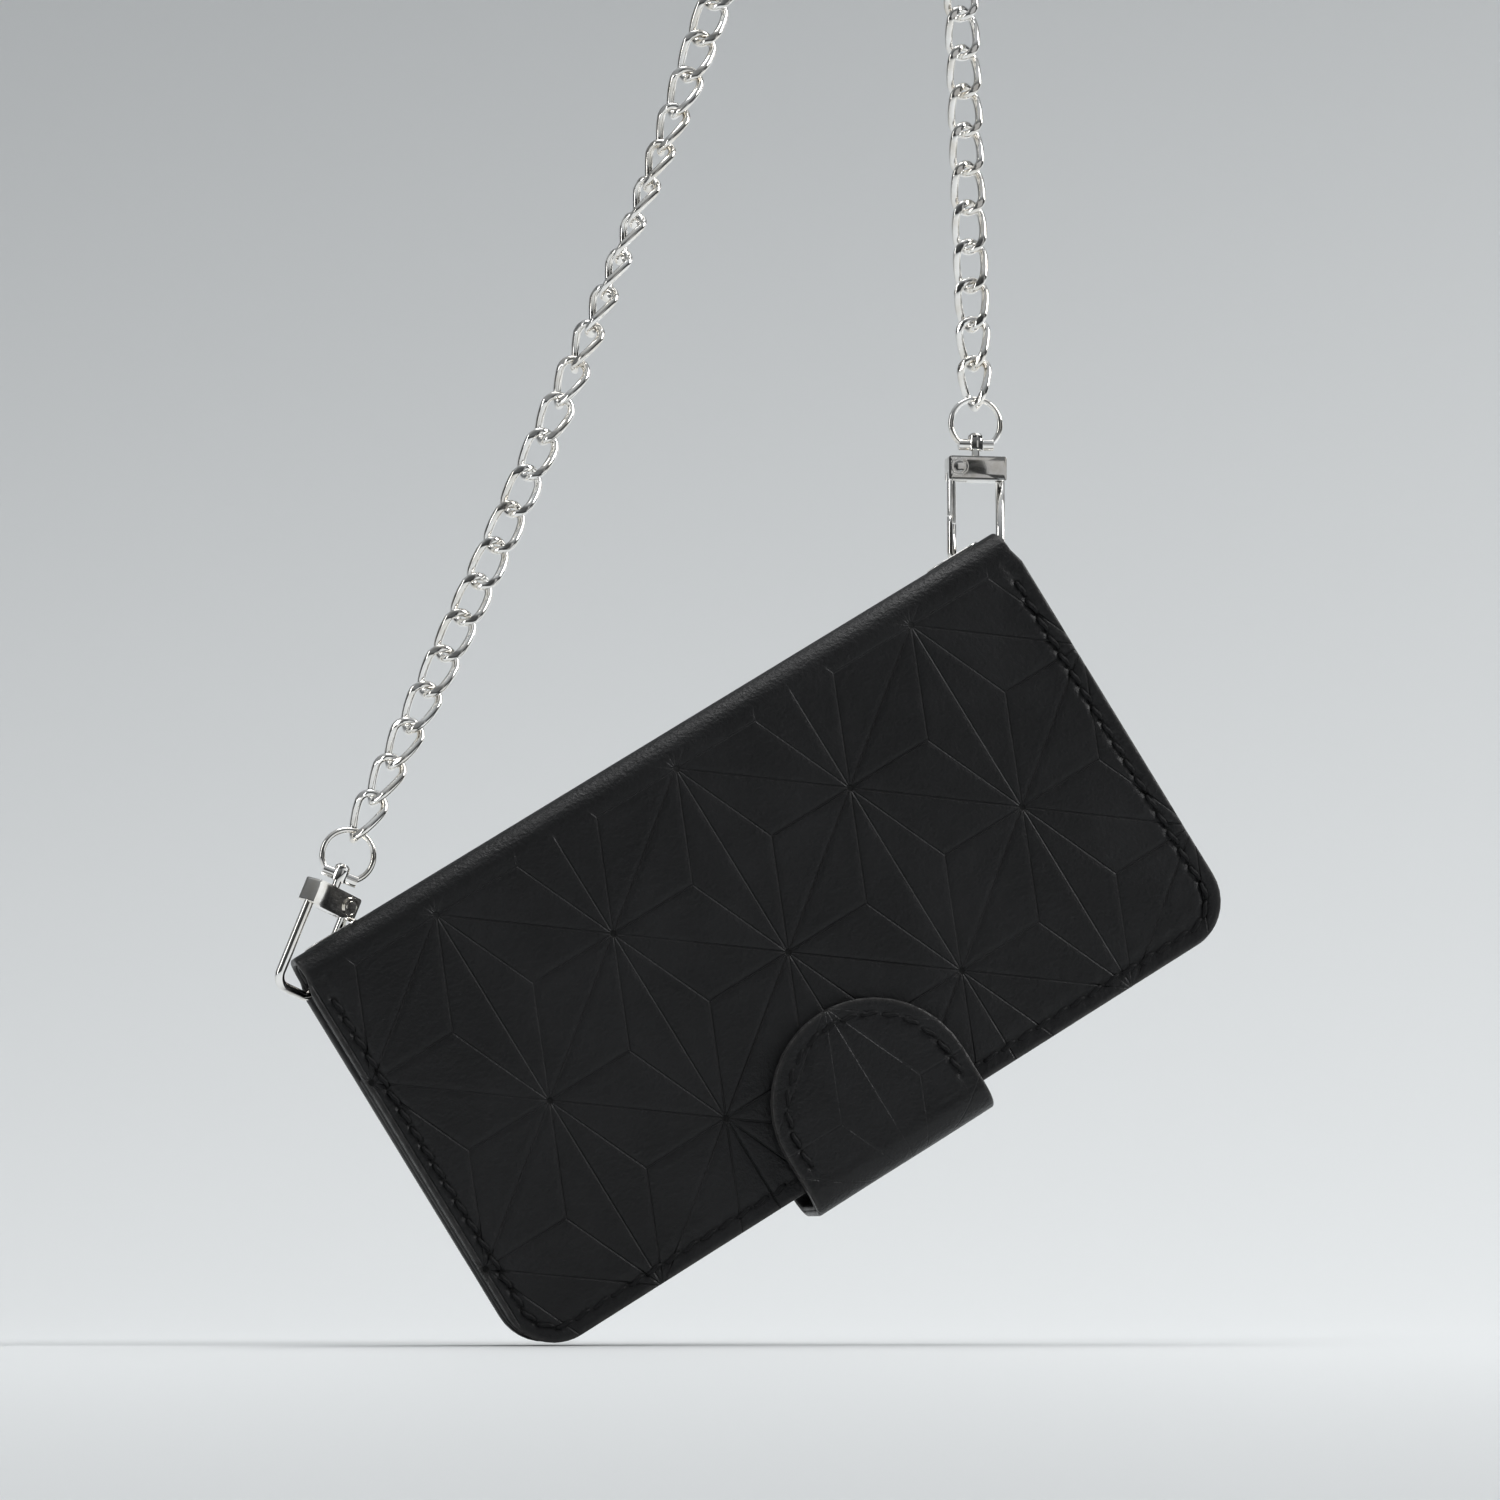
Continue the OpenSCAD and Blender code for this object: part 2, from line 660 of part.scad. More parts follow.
// A quarter ring of frame wire in the XZ plane, from +X towards +Z
module quarter_bend() {
    rotate([90, 0, 0]) mirror([0, 0, 1]) rotate_extrude(angle = 90) translate([bend, 0]) circle(frame_wire / 2);
}

// The gate: an eye on the rivet, and a leg down to the frame's nose
module gate() {
    eye_thickness = slot_width - 4 * fit;
    gate_end = nose_top + 0.25;
    nickel() difference() {
        union() {
            translate([rivet_x, 0, rivet_z]) rotate([90, 0, 0])
                cylinder(r = eye_radius, h = eye_thickness, center = true);
            translate([rivet_x, -eye_thickness / 2, block_bottom + 0.6])
                cube([block_width / 2 - slot_wall - 0.1 - rivet_x, eye_thickness, rivet_z - block_bottom - 0.6]);
            translate([leg_x, 0, gate_end + lap]) cylinder(d = frame_wire, h = block_bottom + 1.5 - gate_end - lap);
            intersection() {
                translate([leg_x, 0, gate_end]) cylinder(d = frame_wire, h = lap + 1);
                translate([leg_x - frame_wire, -frame_wire, gate_end])
                    cube([frame_wire - 0.1, 2 * frame_wire, lap + 1]);
            }
        }
        translate([rivet_x, 0, rivet_z]) rotate([90, 0, 0])
            cylinder(d = rivet_diameter + 2 * fit, h = 10, center = true);
    }
}

module gate_rivet() {
    head = 3.5;
    nickel() translate([rivet_x, 0, rivet_z]) rotate([90, 0, 0]) {
        cylinder(d = rivet_diameter, h = block_thickness, center = true);
        for (e = [0, 180]) rotate([0, e, 0]) translate([0, 0, block_thickness / 2]) difference() {
            cylinder(d = head, h = 0.35);
            translate([0, 0, 0.15]) difference() {
                cylinder(d = head - 0.6, h = 1);
                cylinder(d = head - 1.4, h = 1);
            }
        }
    }
}

// A leaf spring in the roof of the slot, resting on the gate's eye
module gate_spring() {
    z = block_top - slot_roof;
    slot_left = rivet_x - eye_radius - 0.25;
    color([0.6, 0.6, 0.62]) translate([slot_left, -0.7, rivet_z - 0.8]) cube([0.2, 1.4, z - rivet_z + 0.8]);
}

module left_swivel_ring() { at_left_ring() swivel_ring(); }
module right_swivel_ring() { at_right_ring() swivel_ring(); }
module left_swivel_post() { at_left_clasp() swivel_post(); }
module right_swivel_post() { at_right_clasp() swivel_post(); }
module left_clasp_block() { at_left_clasp() clasp_block(); }
module right_clasp_block() { at_right_clasp() clasp_block(); }
module left_clasp_frame() { at_left_clasp() clasp_frame(); }
module right_clasp_frame() { at_right_clasp() clasp_frame(); }
module left_gate() { at_left_clasp() gate(); }
module right_gate() { at_right_clasp() gate(); }
module left_gate_rivet() { at_left_clasp() gate_rivet(); }
module right_gate_rivet() { at_right_clasp() gate_rivet(); }
module left_gate_spring() { at_left_clasp() gate_spring(); }
module right_gate_spring() { at_right_clasp() gate_spring(); }

// ---------- chain ----------

// Points round a link's wire: two round ends and two straight sides, as [x, w]
end_steps = 4;
link_loop = concat(
    [for (i = [0 : end_steps]) let (w = -90 + i * 180 / end_steps)
        [half_link - half_width + half_width * cos(w), half_width * sin(w)]],
    [[0, half_width]],
    [for (i = [0 : end_steps]) let (w = 90 + i * 180 / end_steps)
        [half_width - half_link + half_width * cos(w), half_width * sin(w)]],
    [[0, -half_width]]
);
rings = len(link_loop);
wire_sides = 6;
function twisted(p) = let (w = link_twist / 2 * p[0] / half_link) [p[0], p[1] * cos(w), p[1] * sin(w)];
function unit(v) = v / norm(v);
function wire_centre(i) = twisted(link_loop[(i + rings) % rings]);
function wire_along(i) = unit(wire_centre(i + 1) - wire_centre(i - 1));
function wire_side(i) = let (w = link_twist / 2 * wire_centre(i)[0] / half_link)
    unit(cross([0, -sin(w), cos(w)], wire_along(i)));
link_points = [
    for (i = [0 : rings - 1]) for (k = [0 : wire_sides - 1])
        let (w = k * 360 / wire_sides, n = wire_side(i))
        wire_centre(i) + link_wire / 2 * (cos(w) * n + sin(w) * cross(wire_along(i), n))
];
function ring_point(i, k) = (i % rings) * wire_sides + k % wire_sides;
link_faces = [
    for (i = [0 : rings - 1]) for (k = [0 : wire_sides - 1]) for (half = [0, 1])
        half == 0 ? [ring_point(i, k), ring_point(i, k + 1), ring_point(i + 1, k + 1)] :
            [ring_point(i, k), ring_point(i + 1, k + 1), ring_point(i + 1, k)]
];

// Link number i, from the left clasp over the arch to the right clasp
module link(i) {
    from = joint_point(i);
    to = joint_point(i + 1);
    along = unit(to - from);
    face = unit(cross([0, 1, 0], along));
    back = cross(along, face);
    w = roll_at(first_joint + (i + 0.5) * pitch);
    a = cos(w) * face + sin(w) * back;
    b = cross(along, a);
    m = (from + to) / 2;
    multmatrix([
        [along[0], a[0], b[0], m[0]],
        [along[1], a[1], b[1], m[1]],
        [along[2], a[2], b[2], m[2]],
        [0, 0, 0, 1]
    ]) polyhedron(link_points, link_faces);
}

module links(first, end) {
    nickel() for (i = [first : end - 1]) link(i);
}

module left_chain_lower() { links(0, left_middle); }
module left_chain_upper() { links(left_middle, arch_first); }
module chain_arch() { links(arch_first, arch_end); }
module right_chain_upper() { links(arch_end, right_middle); }
module right_chain_lower() { links(right_middle, link_count); }

front_cover();
front_board();
front_lining();
card_pocket_rear();
card_pocket_middle();
card_pocket_front();
front_stitching();
cover_magnet();
spine();
spine_lining();
left_eyelet();
right_eyelet();
left_eyelet_washer();
right_eyelet_washer();
back_cover();
back_board();
back_lining();
note_pocket_panel();
back_stitching();
tab_root();
root_stitching();
tab_flap();
tab_lining();
tab_magnet();
tab_stitching();
left_swivel_ring();
right_swivel_ring();
left_swivel_post();
right_swivel_post();
left_clasp_block();
right_clasp_block();
left_clasp_frame();
right_clasp_frame();
left_gate();
right_gate();
left_gate_rivet();
right_gate_rivet();
left_gate_spring();
right_gate_spring();
left_chain_lower();
left_chain_upper();
chain_arch();
right_chain_upper();
right_chain_lower();
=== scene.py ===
"""Looks of a folding leather wallet on a curb chain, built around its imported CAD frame."""

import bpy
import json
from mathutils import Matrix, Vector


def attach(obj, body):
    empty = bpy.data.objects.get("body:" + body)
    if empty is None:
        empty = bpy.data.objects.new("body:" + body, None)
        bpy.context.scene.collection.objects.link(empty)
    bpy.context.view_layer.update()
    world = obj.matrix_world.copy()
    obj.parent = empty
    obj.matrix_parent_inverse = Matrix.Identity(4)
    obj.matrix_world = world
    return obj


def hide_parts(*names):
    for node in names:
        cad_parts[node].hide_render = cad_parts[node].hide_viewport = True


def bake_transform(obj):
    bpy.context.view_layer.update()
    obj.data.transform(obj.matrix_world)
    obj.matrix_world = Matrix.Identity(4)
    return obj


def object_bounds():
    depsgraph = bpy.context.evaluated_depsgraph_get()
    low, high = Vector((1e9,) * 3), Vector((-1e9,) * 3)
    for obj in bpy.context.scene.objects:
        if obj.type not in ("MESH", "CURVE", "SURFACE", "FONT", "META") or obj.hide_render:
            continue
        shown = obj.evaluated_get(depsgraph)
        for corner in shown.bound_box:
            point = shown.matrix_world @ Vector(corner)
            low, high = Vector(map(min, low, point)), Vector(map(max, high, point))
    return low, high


bl_info = {
    "name": "Chain wallet",
    "version": (1, 0, 0),
    "blender": (4, 5, 0),
    "location": "View3D > Sidebar > Chain wallet",
    "description": "Pressed leather covers, stitching, curb chain, swivel clasps and a pale studio",
    "category": "Object",
}

import json
import math

import bpy
import numpy as np
from mathutils import Matrix, Vector

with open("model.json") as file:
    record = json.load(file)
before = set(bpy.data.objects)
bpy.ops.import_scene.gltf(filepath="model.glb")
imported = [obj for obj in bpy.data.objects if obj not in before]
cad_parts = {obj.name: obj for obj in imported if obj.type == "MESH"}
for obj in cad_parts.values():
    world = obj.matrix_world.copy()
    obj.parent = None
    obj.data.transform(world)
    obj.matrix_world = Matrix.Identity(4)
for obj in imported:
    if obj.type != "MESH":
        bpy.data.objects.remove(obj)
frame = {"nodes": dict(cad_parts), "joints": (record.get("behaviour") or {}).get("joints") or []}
CAD_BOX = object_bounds()
NODES = frame["nodes"]
JOINTS = {j["name"]: j for j in frame["joints"]}
MM = 0.001

# Sizes of the part, in millimetres, as its frame has them
HALF_LENGTH = 80.0
HALF_HEIGHT = 44.0
HALF_DEPTH = 8.0
FOLD_Z = 38.0
SPINE_RADIUS = 5.0
CORNER = 10.0
LEATHER = 1.4
BOARD = 1.0
LINING = 0.7
POCKET = 0.8
NOTE_GAP = 0.4
WALL = LEATHER + BOARD + LINING
STITCH_MARGIN = 3.1
STITCH_PITCH = 4.0
EYELET_X = HALF_LENGTH - 9.6
EYELET_HALF = (9.2 + 0.6) / 2
EYELET_RADIUS = (4.0 + 0.6) / 2
TAB_HALF = 20.0
TAB_LEATHER = 1.4
TAB_THICK = 2.2
TAB_FRONT_Y = -HALF_DEPTH - 0.5 - TAB_THICK
TAB_BACK_Y = HALF_DEPTH + TAB_THICK
TAB_LOW = -HALF_HEIGHT - 5.3
TAB_BEND = 4.0 + TAB_THICK / 2
TAB_TIP = -HALF_HEIGHT + 27.5
ROOT_TOP = -HALF_HEIGHT + 26.0
TAB_FOLD = (HALF_DEPTH + TAB_THICK / 2, TAB_LOW + TAB_BEND)


def row(v):
    return np.array(v, float)


U = row(JOINTS["back_cover_open"]["axis"])
U /= np.linalg.norm(U)
V = row([-U[2], 0, U[0]])
Y = row([0, 1, 0])
FOLD_MIDDLE = (row(JOINTS["front_cover_open"]["pos_m"]) + row(JOINTS["back_cover_open"]["pos_m"])) / 2
HOME = FOLD_MIDDLE - V * FOLD_Z * MM


def from_wallet(p):
    """Wallet points (along the spine, depth, towards the spine) in mm, as row frame points in metres."""
    p = np.asarray(p, float).reshape(-1, 3)
    return HOME + MM * (p[:, :1] * U + p[:, 1:2] * Y + p[:, 2:3] * V)


# ---------- meshes ----------


def new_object(name, mesh, material=None):
    obj = bpy.data.objects.new(name, mesh)
    bpy.context.scene.collection.objects.link(obj)
    if material is not None:
        mesh.materials.append(material)
    return obj


def build_mesh(name, points, faces, material, angle=40.0, flat=None, extra=None):
    mesh = bpy.data.meshes.new(name)
    mesh.from_pydata([tuple(p) for p in points], [], faces)
    mesh.update()
    mesh.shade_smooth()
    mesh.set_sharp_from_angle(angle=math.radians(angle))
    if flat is not None:
        loops = np.zeros(len(mesh.loops), int)
        mesh.loops.foreach_get("vertex_index", loops)
        layer = mesh.uv_layers.new(name="flat")
        layer.data.foreach_set("uv", np.asarray(flat, np.float32)[loops].ravel())
    for key, values in (extra or {}).items():
        a = mesh.attributes.new(key, "FLOAT", "POINT")
        a.data.foreach_set("value", np.asarray(values, np.float32))
    return new_object(name, mesh, material)


def tube(centres, across, radius, sides, closed=False):
    """Points and faces of a tube through centres; across holds one side vector for each centre."""
    c = np.asarray(centres, float)
    n = len(c)
    along = np.roll(c, -1, 0) - np.roll(c, 1, 0)
    if not closed:
        along[0] = c[1] - c[0]
        along[-1] = c[-1] - c[-2]
    along /= np.linalg.norm(along, axis=1)[:, None]
    a = np.asarray(across, float)
    a = a - (a * along).sum(1)[:, None] * along
    a /= np.linalg.norm(a, axis=1)[:, None]
    b = np.cross(along, a)
    w = np.linspace(0, 2 * math.pi, sides, endpoint=False)
    r = np.broadcast_to(np.asarray(radius, float).reshape(-1, 1), (n, 1)) if np.ndim(radius) < 2 else radius
    pts = c[:, None] + (np.cos(w) * r)[..., None] * a[:, None] + (np.sin(w) * r)[..., None] * b[:, None]
    faces = []
    for i in range(n if closed else n - 1):
        j = (i + 1) % n
        for k in range(sides):
            m = (k + 1) % sides
            faces.append((i * sides + k, i * sides + m, j * sides + m, j * sides + k))
    if not closed:
        faces.append(tuple(range(sides - 1, -1, -1)))
        faces.append(tuple(range((n - 1) * sides, n * sides)))
    return pts.reshape(-1, 3), faces


def merged(parts):
    """Several (points, faces) as one."""
    points = []
    faces = []
    start = 0
    for p, f in parts:
        points.append(p)
        faces.extend(tuple(i + start for i in face) for face in f)
        start += len(p)
    return np.concatenate(points), faces


def path_of(pieces, step=0.25):
    """A section path of lines and arcs.

    Each piece is ("to", y, z) or ("arc", centre y, centre z, from degrees, to degrees, radius).
    """
    pts = [np.array(pieces[0][1:], float)]
    for p in pieces[1:]:
        if p[0] == "to":
            end = np.array(p[1:], float)
            n = max(2, int(np.linalg.norm(end - pts[-1]) / step))
            start = pts[-1]
            pts += [start + (end - start) * k / n for k in range(1, n + 1)]
        else:
            cy, cz, w0, w1, r = p[1:]
            n = max(8, int(abs(math.radians(w1 - w0)) * r / step))
            for k in range(1, n + 1):
                w = math.radians(w0 + (w1 - w0) * k / n)
                pts.append(np.array([cy + r * math.cos(w), cz + r * math.sin(w)]))
    pts = np.array(pts)
    s = np.concatenate([[0], np.cumsum(np.linalg.norm(np.diff(pts, axis=0), axis=1))])
    t = np.gradient(pts, s, axis=0)
    t /= np.linalg.norm(t, axis=1)[:, None]
    return s, pts, t


# A turn of the path smaller than this counts as straight
NO_TURN = 1e-6
# Extra lines next to a rounded edge, in mm, and the turns of a round corner, in degrees
EDGE_LINES = (0.0, 0.04, 0.12, 0.25, 0.42, 0.62)
CORNER_TURNS = (0, 2.5, 6, 10, 16, 23, 31, 40, 50, 60, 70, 80, 90)
# How far in the worn rim reaches, in mm
RIM_REACH = 1.6


def clustered(lo, hi, step):
    """Values from lo to hi about step apart, with extra ones near each end for a rounded edge."""
    first = [lo + d for d in EDGE_LINES]
    last = [hi - d for d in reversed(EDGE_LINES)]
    a, b = first[-1], last[0]
    n = max(1, int(round((b - a) / step)))
    return np.array(first[:-1] + list(np.linspace(a, b, n + 1)) + last[1:])


def sheet_mesh(
    name, path, half_width, thick, material, *, turn=1, start_radius=None, end_radius=None, edge=None,
    step=1.0, relief=None, end_at=None, narrow=None, coarse=8, holes=None,
):
    """A leather sheet swept along a section path.

    The path runs on the sheet's outer face; turn says which side of the path is outside. A free end has
    a radius for its corners; an end without one is square. end_at gives where the far end lies for each
    place across. relief gives the height of the outer face for each place (across, along), and holes how
    far a place is pierced, from 0 to 1; the leather paints shade into the stitch holes from it.
    """
    s_path, yz, tangent = path
    total = s_path[-1]
    edge = thick / 2 if edge is None else edge
    e0, e1 = start_radius, end_radius
    lead = CORNER_TURNS
    rows = []
    if e0:
        rows += [e0 * (1 - math.cos(math.radians(w))) for w in lead]
    body_start = rows[-1] if rows else 0.0
    tail = [total - e1 * (1 - math.cos(math.radians(w))) for w in reversed(lead)] if e1 else []
    body_end = tail[0] if tail else total
    n = max(2, int(round((body_end - body_start) / step)))
    middle = list(np.linspace(body_start, body_end, n + 1))
    rows = np.array((rows[:-1] if rows else []) + middle + (tail[1:] if tail else []))
    half = np.full(len(rows), float(half_width))
    if e0:
        near = rows < e0
        half[near] = half_width - e0 + np.sqrt(np.maximum(0, e0**2 - (e0 - rows[near]) ** 2))
    if e1:
        near = total - rows < e1
        half[near] = half_width - e1 + np.sqrt(np.maximum(0, e1**2 - (e1 - total + rows[near]) ** 2))
    half = np.maximum(half, 0.02)
    across = clustered(-half_width, half_width, step) / half_width
    x = across[None, :] * half[:, None]
    s = np.repeat(rows[:, None], len(across), 1)
    if end_at is not None:
        limit = end_at(x)
        bend = total - 12.0 if total > 24 else total * 0.4
        k = np.clip((s - bend) / (total - bend), 0, 1)
        s = np.where(s > bend, bend + (limit - bend) * k, s)
    depth = half_width - np.abs(x)
    if e0:
        depth = np.minimum(depth, s)
        corner = (np.abs(x) > half_width - e0) & (s < e0)
        depth = np.where(corner, e0 - np.hypot(np.abs(x) - half_width + e0, e0 - s), depth)
    if e1:
        far = (end_at(x) if end_at is not None else total) - s
        depth = np.minimum(depth, far)
        corner = (np.abs(x) > half_width - e1) & (total - s < e1)
        depth = np.where(corner, e1 - np.hypot(np.abs(x) - half_width + e1, e1 - total + s), depth)
    depth = np.maximum(depth, 0)
    cut = np.clip(edge - depth, 0, edge)
    drop = edge - np.sqrt(np.maximum(0, edge**2 - cut**2))
    py = np.interp(s, s_path, yz[:, 0])
    pz = np.interp(s, s_path, yz[:, 1])
    ty = np.interp(s, s_path, tangent[:, 0])
    tz = np.interp(s, s_path, tangent[:, 1])
    ny, nz = -tz * turn, ty * turn
    if narrow is not None:
        x = x * narrow(s) / half_width
    raised = relief(x, s, depth) if relief is not None else 0.0
    top = raised - drop
    low = drop - thick
    outer = np.stack([x, py + ny * top, pz + nz * top], -1)
    inner = np.stack([x, py + ny * low, pz + nz * low], -1)
    nj, ni = s.shape
    index = np.arange(nj * ni).reshape(nj, ni)
    faces = []
    way = 1 if turn > 0 else -1
    q = np.stack([index[:-1, :-1], index[:-1, 1:], index[1:, 1:], index[1:, :-1]], -1).reshape(-1, 4)
    faces += [tuple(f[::way]) for f in q.tolist()]
    turned = np.linalg.norm(np.diff(tangent, axis=0), axis=1)
    curve = turned.sum() > NO_TURN
    cols = sorted(set(range(0, ni, coarse)) | {0, ni - 1, 5, ni - 6})
    bent = np.interp(rows, s_path, np.concatenate([[0], turned])) > NO_TURN
    keep = {0, nj - 1} | set(range(0, nj, coarse))
    if curve:
        keep |= {j for j in range(nj) if bent[j]}
    if e0:
        keep |= set(range(len(lead)))
    if e1:
        keep |= set(range(nj - len(lead), nj))
    if end_at is not None:
        keep |= set(range(max(0, nj - 14), nj))
        cols = sorted(set(cols) | set(range(0, ni, 2)))
    keep = sorted(keep)
    used = np.full((nj, ni), -1)
    used[np.ix_(keep, cols)] = 0
    used[0, :] = used[-1, :] = used[:, 0] = used[:, -1] = 0
    where = np.argwhere(used == 0)
    base = nj * ni
    used[where[:, 0], where[:, 1]] = base + np.arange(len(where))
    for a in range(len(cols) - 1):
        for b in range(len(keep) - 1):
            i0, i1, j0, j1 = cols[a], cols[a + 1], keep[b], keep[b + 1]
            loop = [used[j0, i] for i in (range(i0, i1 + 1) if j0 == 0 else (i0, i1))]
            right = range(j0 + 1, j1) if i1 == ni - 1 else ()
            loop += [used[j, i1] for j in right]
            loop += [used[j1, i] for i in (range(i1, i0 - 1, -1) if j1 == nj - 1 else (i1, i0))]
            left = range(j1 - 1, j0, -1) if i0 == 0 else ()
            loop += [used[j, i0] for j in left]
            faces.append(tuple(int(v) for v in loop[::-way]))
    rim = [(0, i) for i in range(ni)] + [(j, ni - 1) for j in range(1, nj)]
    rim += [(nj - 1, i) for i in range(ni - 2, -1, -1)] + [(j, 0) for j in range(nj - 2, 0, -1)]
    for (ja, ia), (jb, ib) in zip(rim, rim[1:] + rim[:1]):
        f = (index[jb, ib], index[ja, ia], used[ja, ia], used[jb, ib])
        faces.append(tuple(int(v) for v in f[::way]))
    points = np.concatenate([outer.reshape(-1, 3), inner[where[:, 0], where[:, 1]]])
    flat = np.stack([x, s], -1)
    flat = np.concatenate([flat.reshape(-1, 2), flat[where[:, 0], where[:, 1]]]) * MM
    rimness = np.clip(1 - depth / RIM_REACH, 0, 1)
    rimness = np.concatenate([rimness.ravel(), rimness[where[:, 0], where[:, 1]]])
    pierced = holes(x, s) if holes is not None else np.zeros(s.shape)
    pierced = np.concatenate([pierced.ravel(), np.zeros(len(where))])
    return build_mesh(name, from_wallet(points), faces, material, 50, flat, {"rim": rimness, "hole": pierced})


# ---------- materials ----------


class Shader:
    """A material with one Principled shader, and short calls for its nodes."""

    def __init__(self, name):
        self.material = bpy.data.materials.new(name)
        self.material.use_nodes = True
        self.tree = self.material.node_tree
        self.surface = self.tree.nodes["Principled BSDF"]

    def node(self, kind, **settings):
        n = self.tree.nodes.new(kind)
        for key, value in settings.items():
            setattr(n, key, value)
        return n

    def put(self, socket, value):
        if isinstance(value, bpy.types.NodeSocket):
            self.tree.links.new(value, socket)
        else:
            socket.default_value = value

    def math(self, operation, a, b=None):
        n = self.node("ShaderNodeMath", operation=operation)
        for socket, value in zip(n.inputs, (a, b)):
            if value is not None:
                self.put(socket, value)
        return n.outputs[0]

    def span(self, value, a, b, c=0.0, d=1.0):
        n = self.node("ShaderNodeMapRange", interpolation_type="SMOOTHSTEP")
        for key, v in zip(("Value", "From Min", "From Max", "To Min", "To Max"), (value, a, b, c, d)):
            self.put(n.inputs[key], v)
        return n.outputs["Result"]

    def place(self):
        return self.node("ShaderNodeTexCoord").outputs["Object"]

    def noise(self, scale, detail=3.0, rough=0.5, at=None):
        n = self.node("ShaderNodeTexNoise")
        n.inputs["Scale"].default_value = scale
        n.inputs["Detail"].default_value = detail
        n.inputs["Roughness"].default_value = rough
        self.put(n.inputs["Vector"], at if at is not None else self.place())
        return n.outputs["Fac"]

    def cells(self, scale, at, feature="F1"):
        n = self.node("ShaderNodeTexVoronoi", feature=feature)
        n.inputs["Scale"].default_value = scale
        self.put(n.inputs["Vector"], at)
        return n.outputs["Distance"]

    def attribute(self, name):
        return self.node("ShaderNodeAttribute", attribute_name=name).outputs["Fac"]

    def mix(self, factor, a, b):
        n = self.node("ShaderNodeMix", data_type="RGBA")
        self.put(n.inputs[0], factor)
        self.put(n.inputs[6], a)
        self.put(n.inputs[7], b)
        return n.outputs[2]

    def bump(self, height, strength, distance, normal=None):
        n = self.node("ShaderNodeBump")
        n.inputs["Strength"].default_value = strength
        n.inputs["Distance"].default_value = distance
        self.put(n.inputs["Height"], height)
        if normal is not None:
            self.put(n.inputs["Normal"], normal)
        return n.outputs["Normal"]

    def set(self, **values):
        for key, value in values.items():
            self.put(self.surface.inputs[key.replace("_", " ")], value)
        return self.material


def tint(color, factor=1.0):
    return (color[0] * factor, color[1] * factor, color[2] * factor, 1.0)


# Stars of the pressed pattern: their spacing along and across the cover, and where one of them is
STAR_STEP = 26.73
STAR_RISE = 20.36
STAR_AT = (1.2, HALF_HEIGHT - 3.7)
TRIANGLE = 2 * STAR_STEP * STAR_RISE
SIDE = math.hypot(STAR_STEP, STAR_RISE)
HEIGHT_A = TRIANGLE / SIDE
HEIGHT_B = TRIANGLE / (2 * STAR_RISE)
MEDIAN = 16.9
FADE_FROM = HALF_HEIGHT + 34.0
FADE_TO = HALF_HEIGHT + 40.5
# The grain's pebbles and pores in a metre, heights of its bumps in metres, and the colour of worn rims
PEBBLES = 1500
PORES = 3600
GRAIN_HEIGHT = 0.0002
LINE_PRESS = 0.00042
PUNCH_PRESS = 0.0005
WORN_COLOR = (0.055, 0.052, 0.05)


def star_field(x, s):
    """Distance in mm to the nearest pressed line, and to the nearest star centre, on the flat cover."""
    p = (x - STAR_AT[0]) / STAR_STEP
    q = (s - STAR_AT[1]) / STAR_RISE
    a = (p + q) / 2
    b = (p - q) / 2
    fa = a - np.floor(a)
    fb = b - np.floor(b)
    over = fa + fb > 1
    ba = np.where(over, 1 - fa, fa)
    bb = np.where(over, 1 - fb, fb)
    bc = 1 - ba - bb
    edge = np.minimum(np.minimum(ba, bb) * HEIGHT_A, bc * HEIGHT_B)
    low = np.minimum(np.minimum(ba, bb), bc)
    high = np.maximum(np.maximum(ba, bb), bc)
    spoke = (1 - high - 2 * low) * MEDIAN
    near_a = np.round(a)
    near_b = np.round(b)
    star = np.full(x.shape, 99.0)
    for da in (-1, 0, 1):
        for db in (-1, 0, 1):
            ca, cb = near_a + da, near_b + db
            cx = (ca + cb) * STAR_STEP + STAR_AT[0]
            cs = (ca - cb) * STAR_RISE + STAR_AT[1]
            star = np.minimum(star, np.hypot(x - cx, s - cs))
    return np.minimum(edge, spoke), star


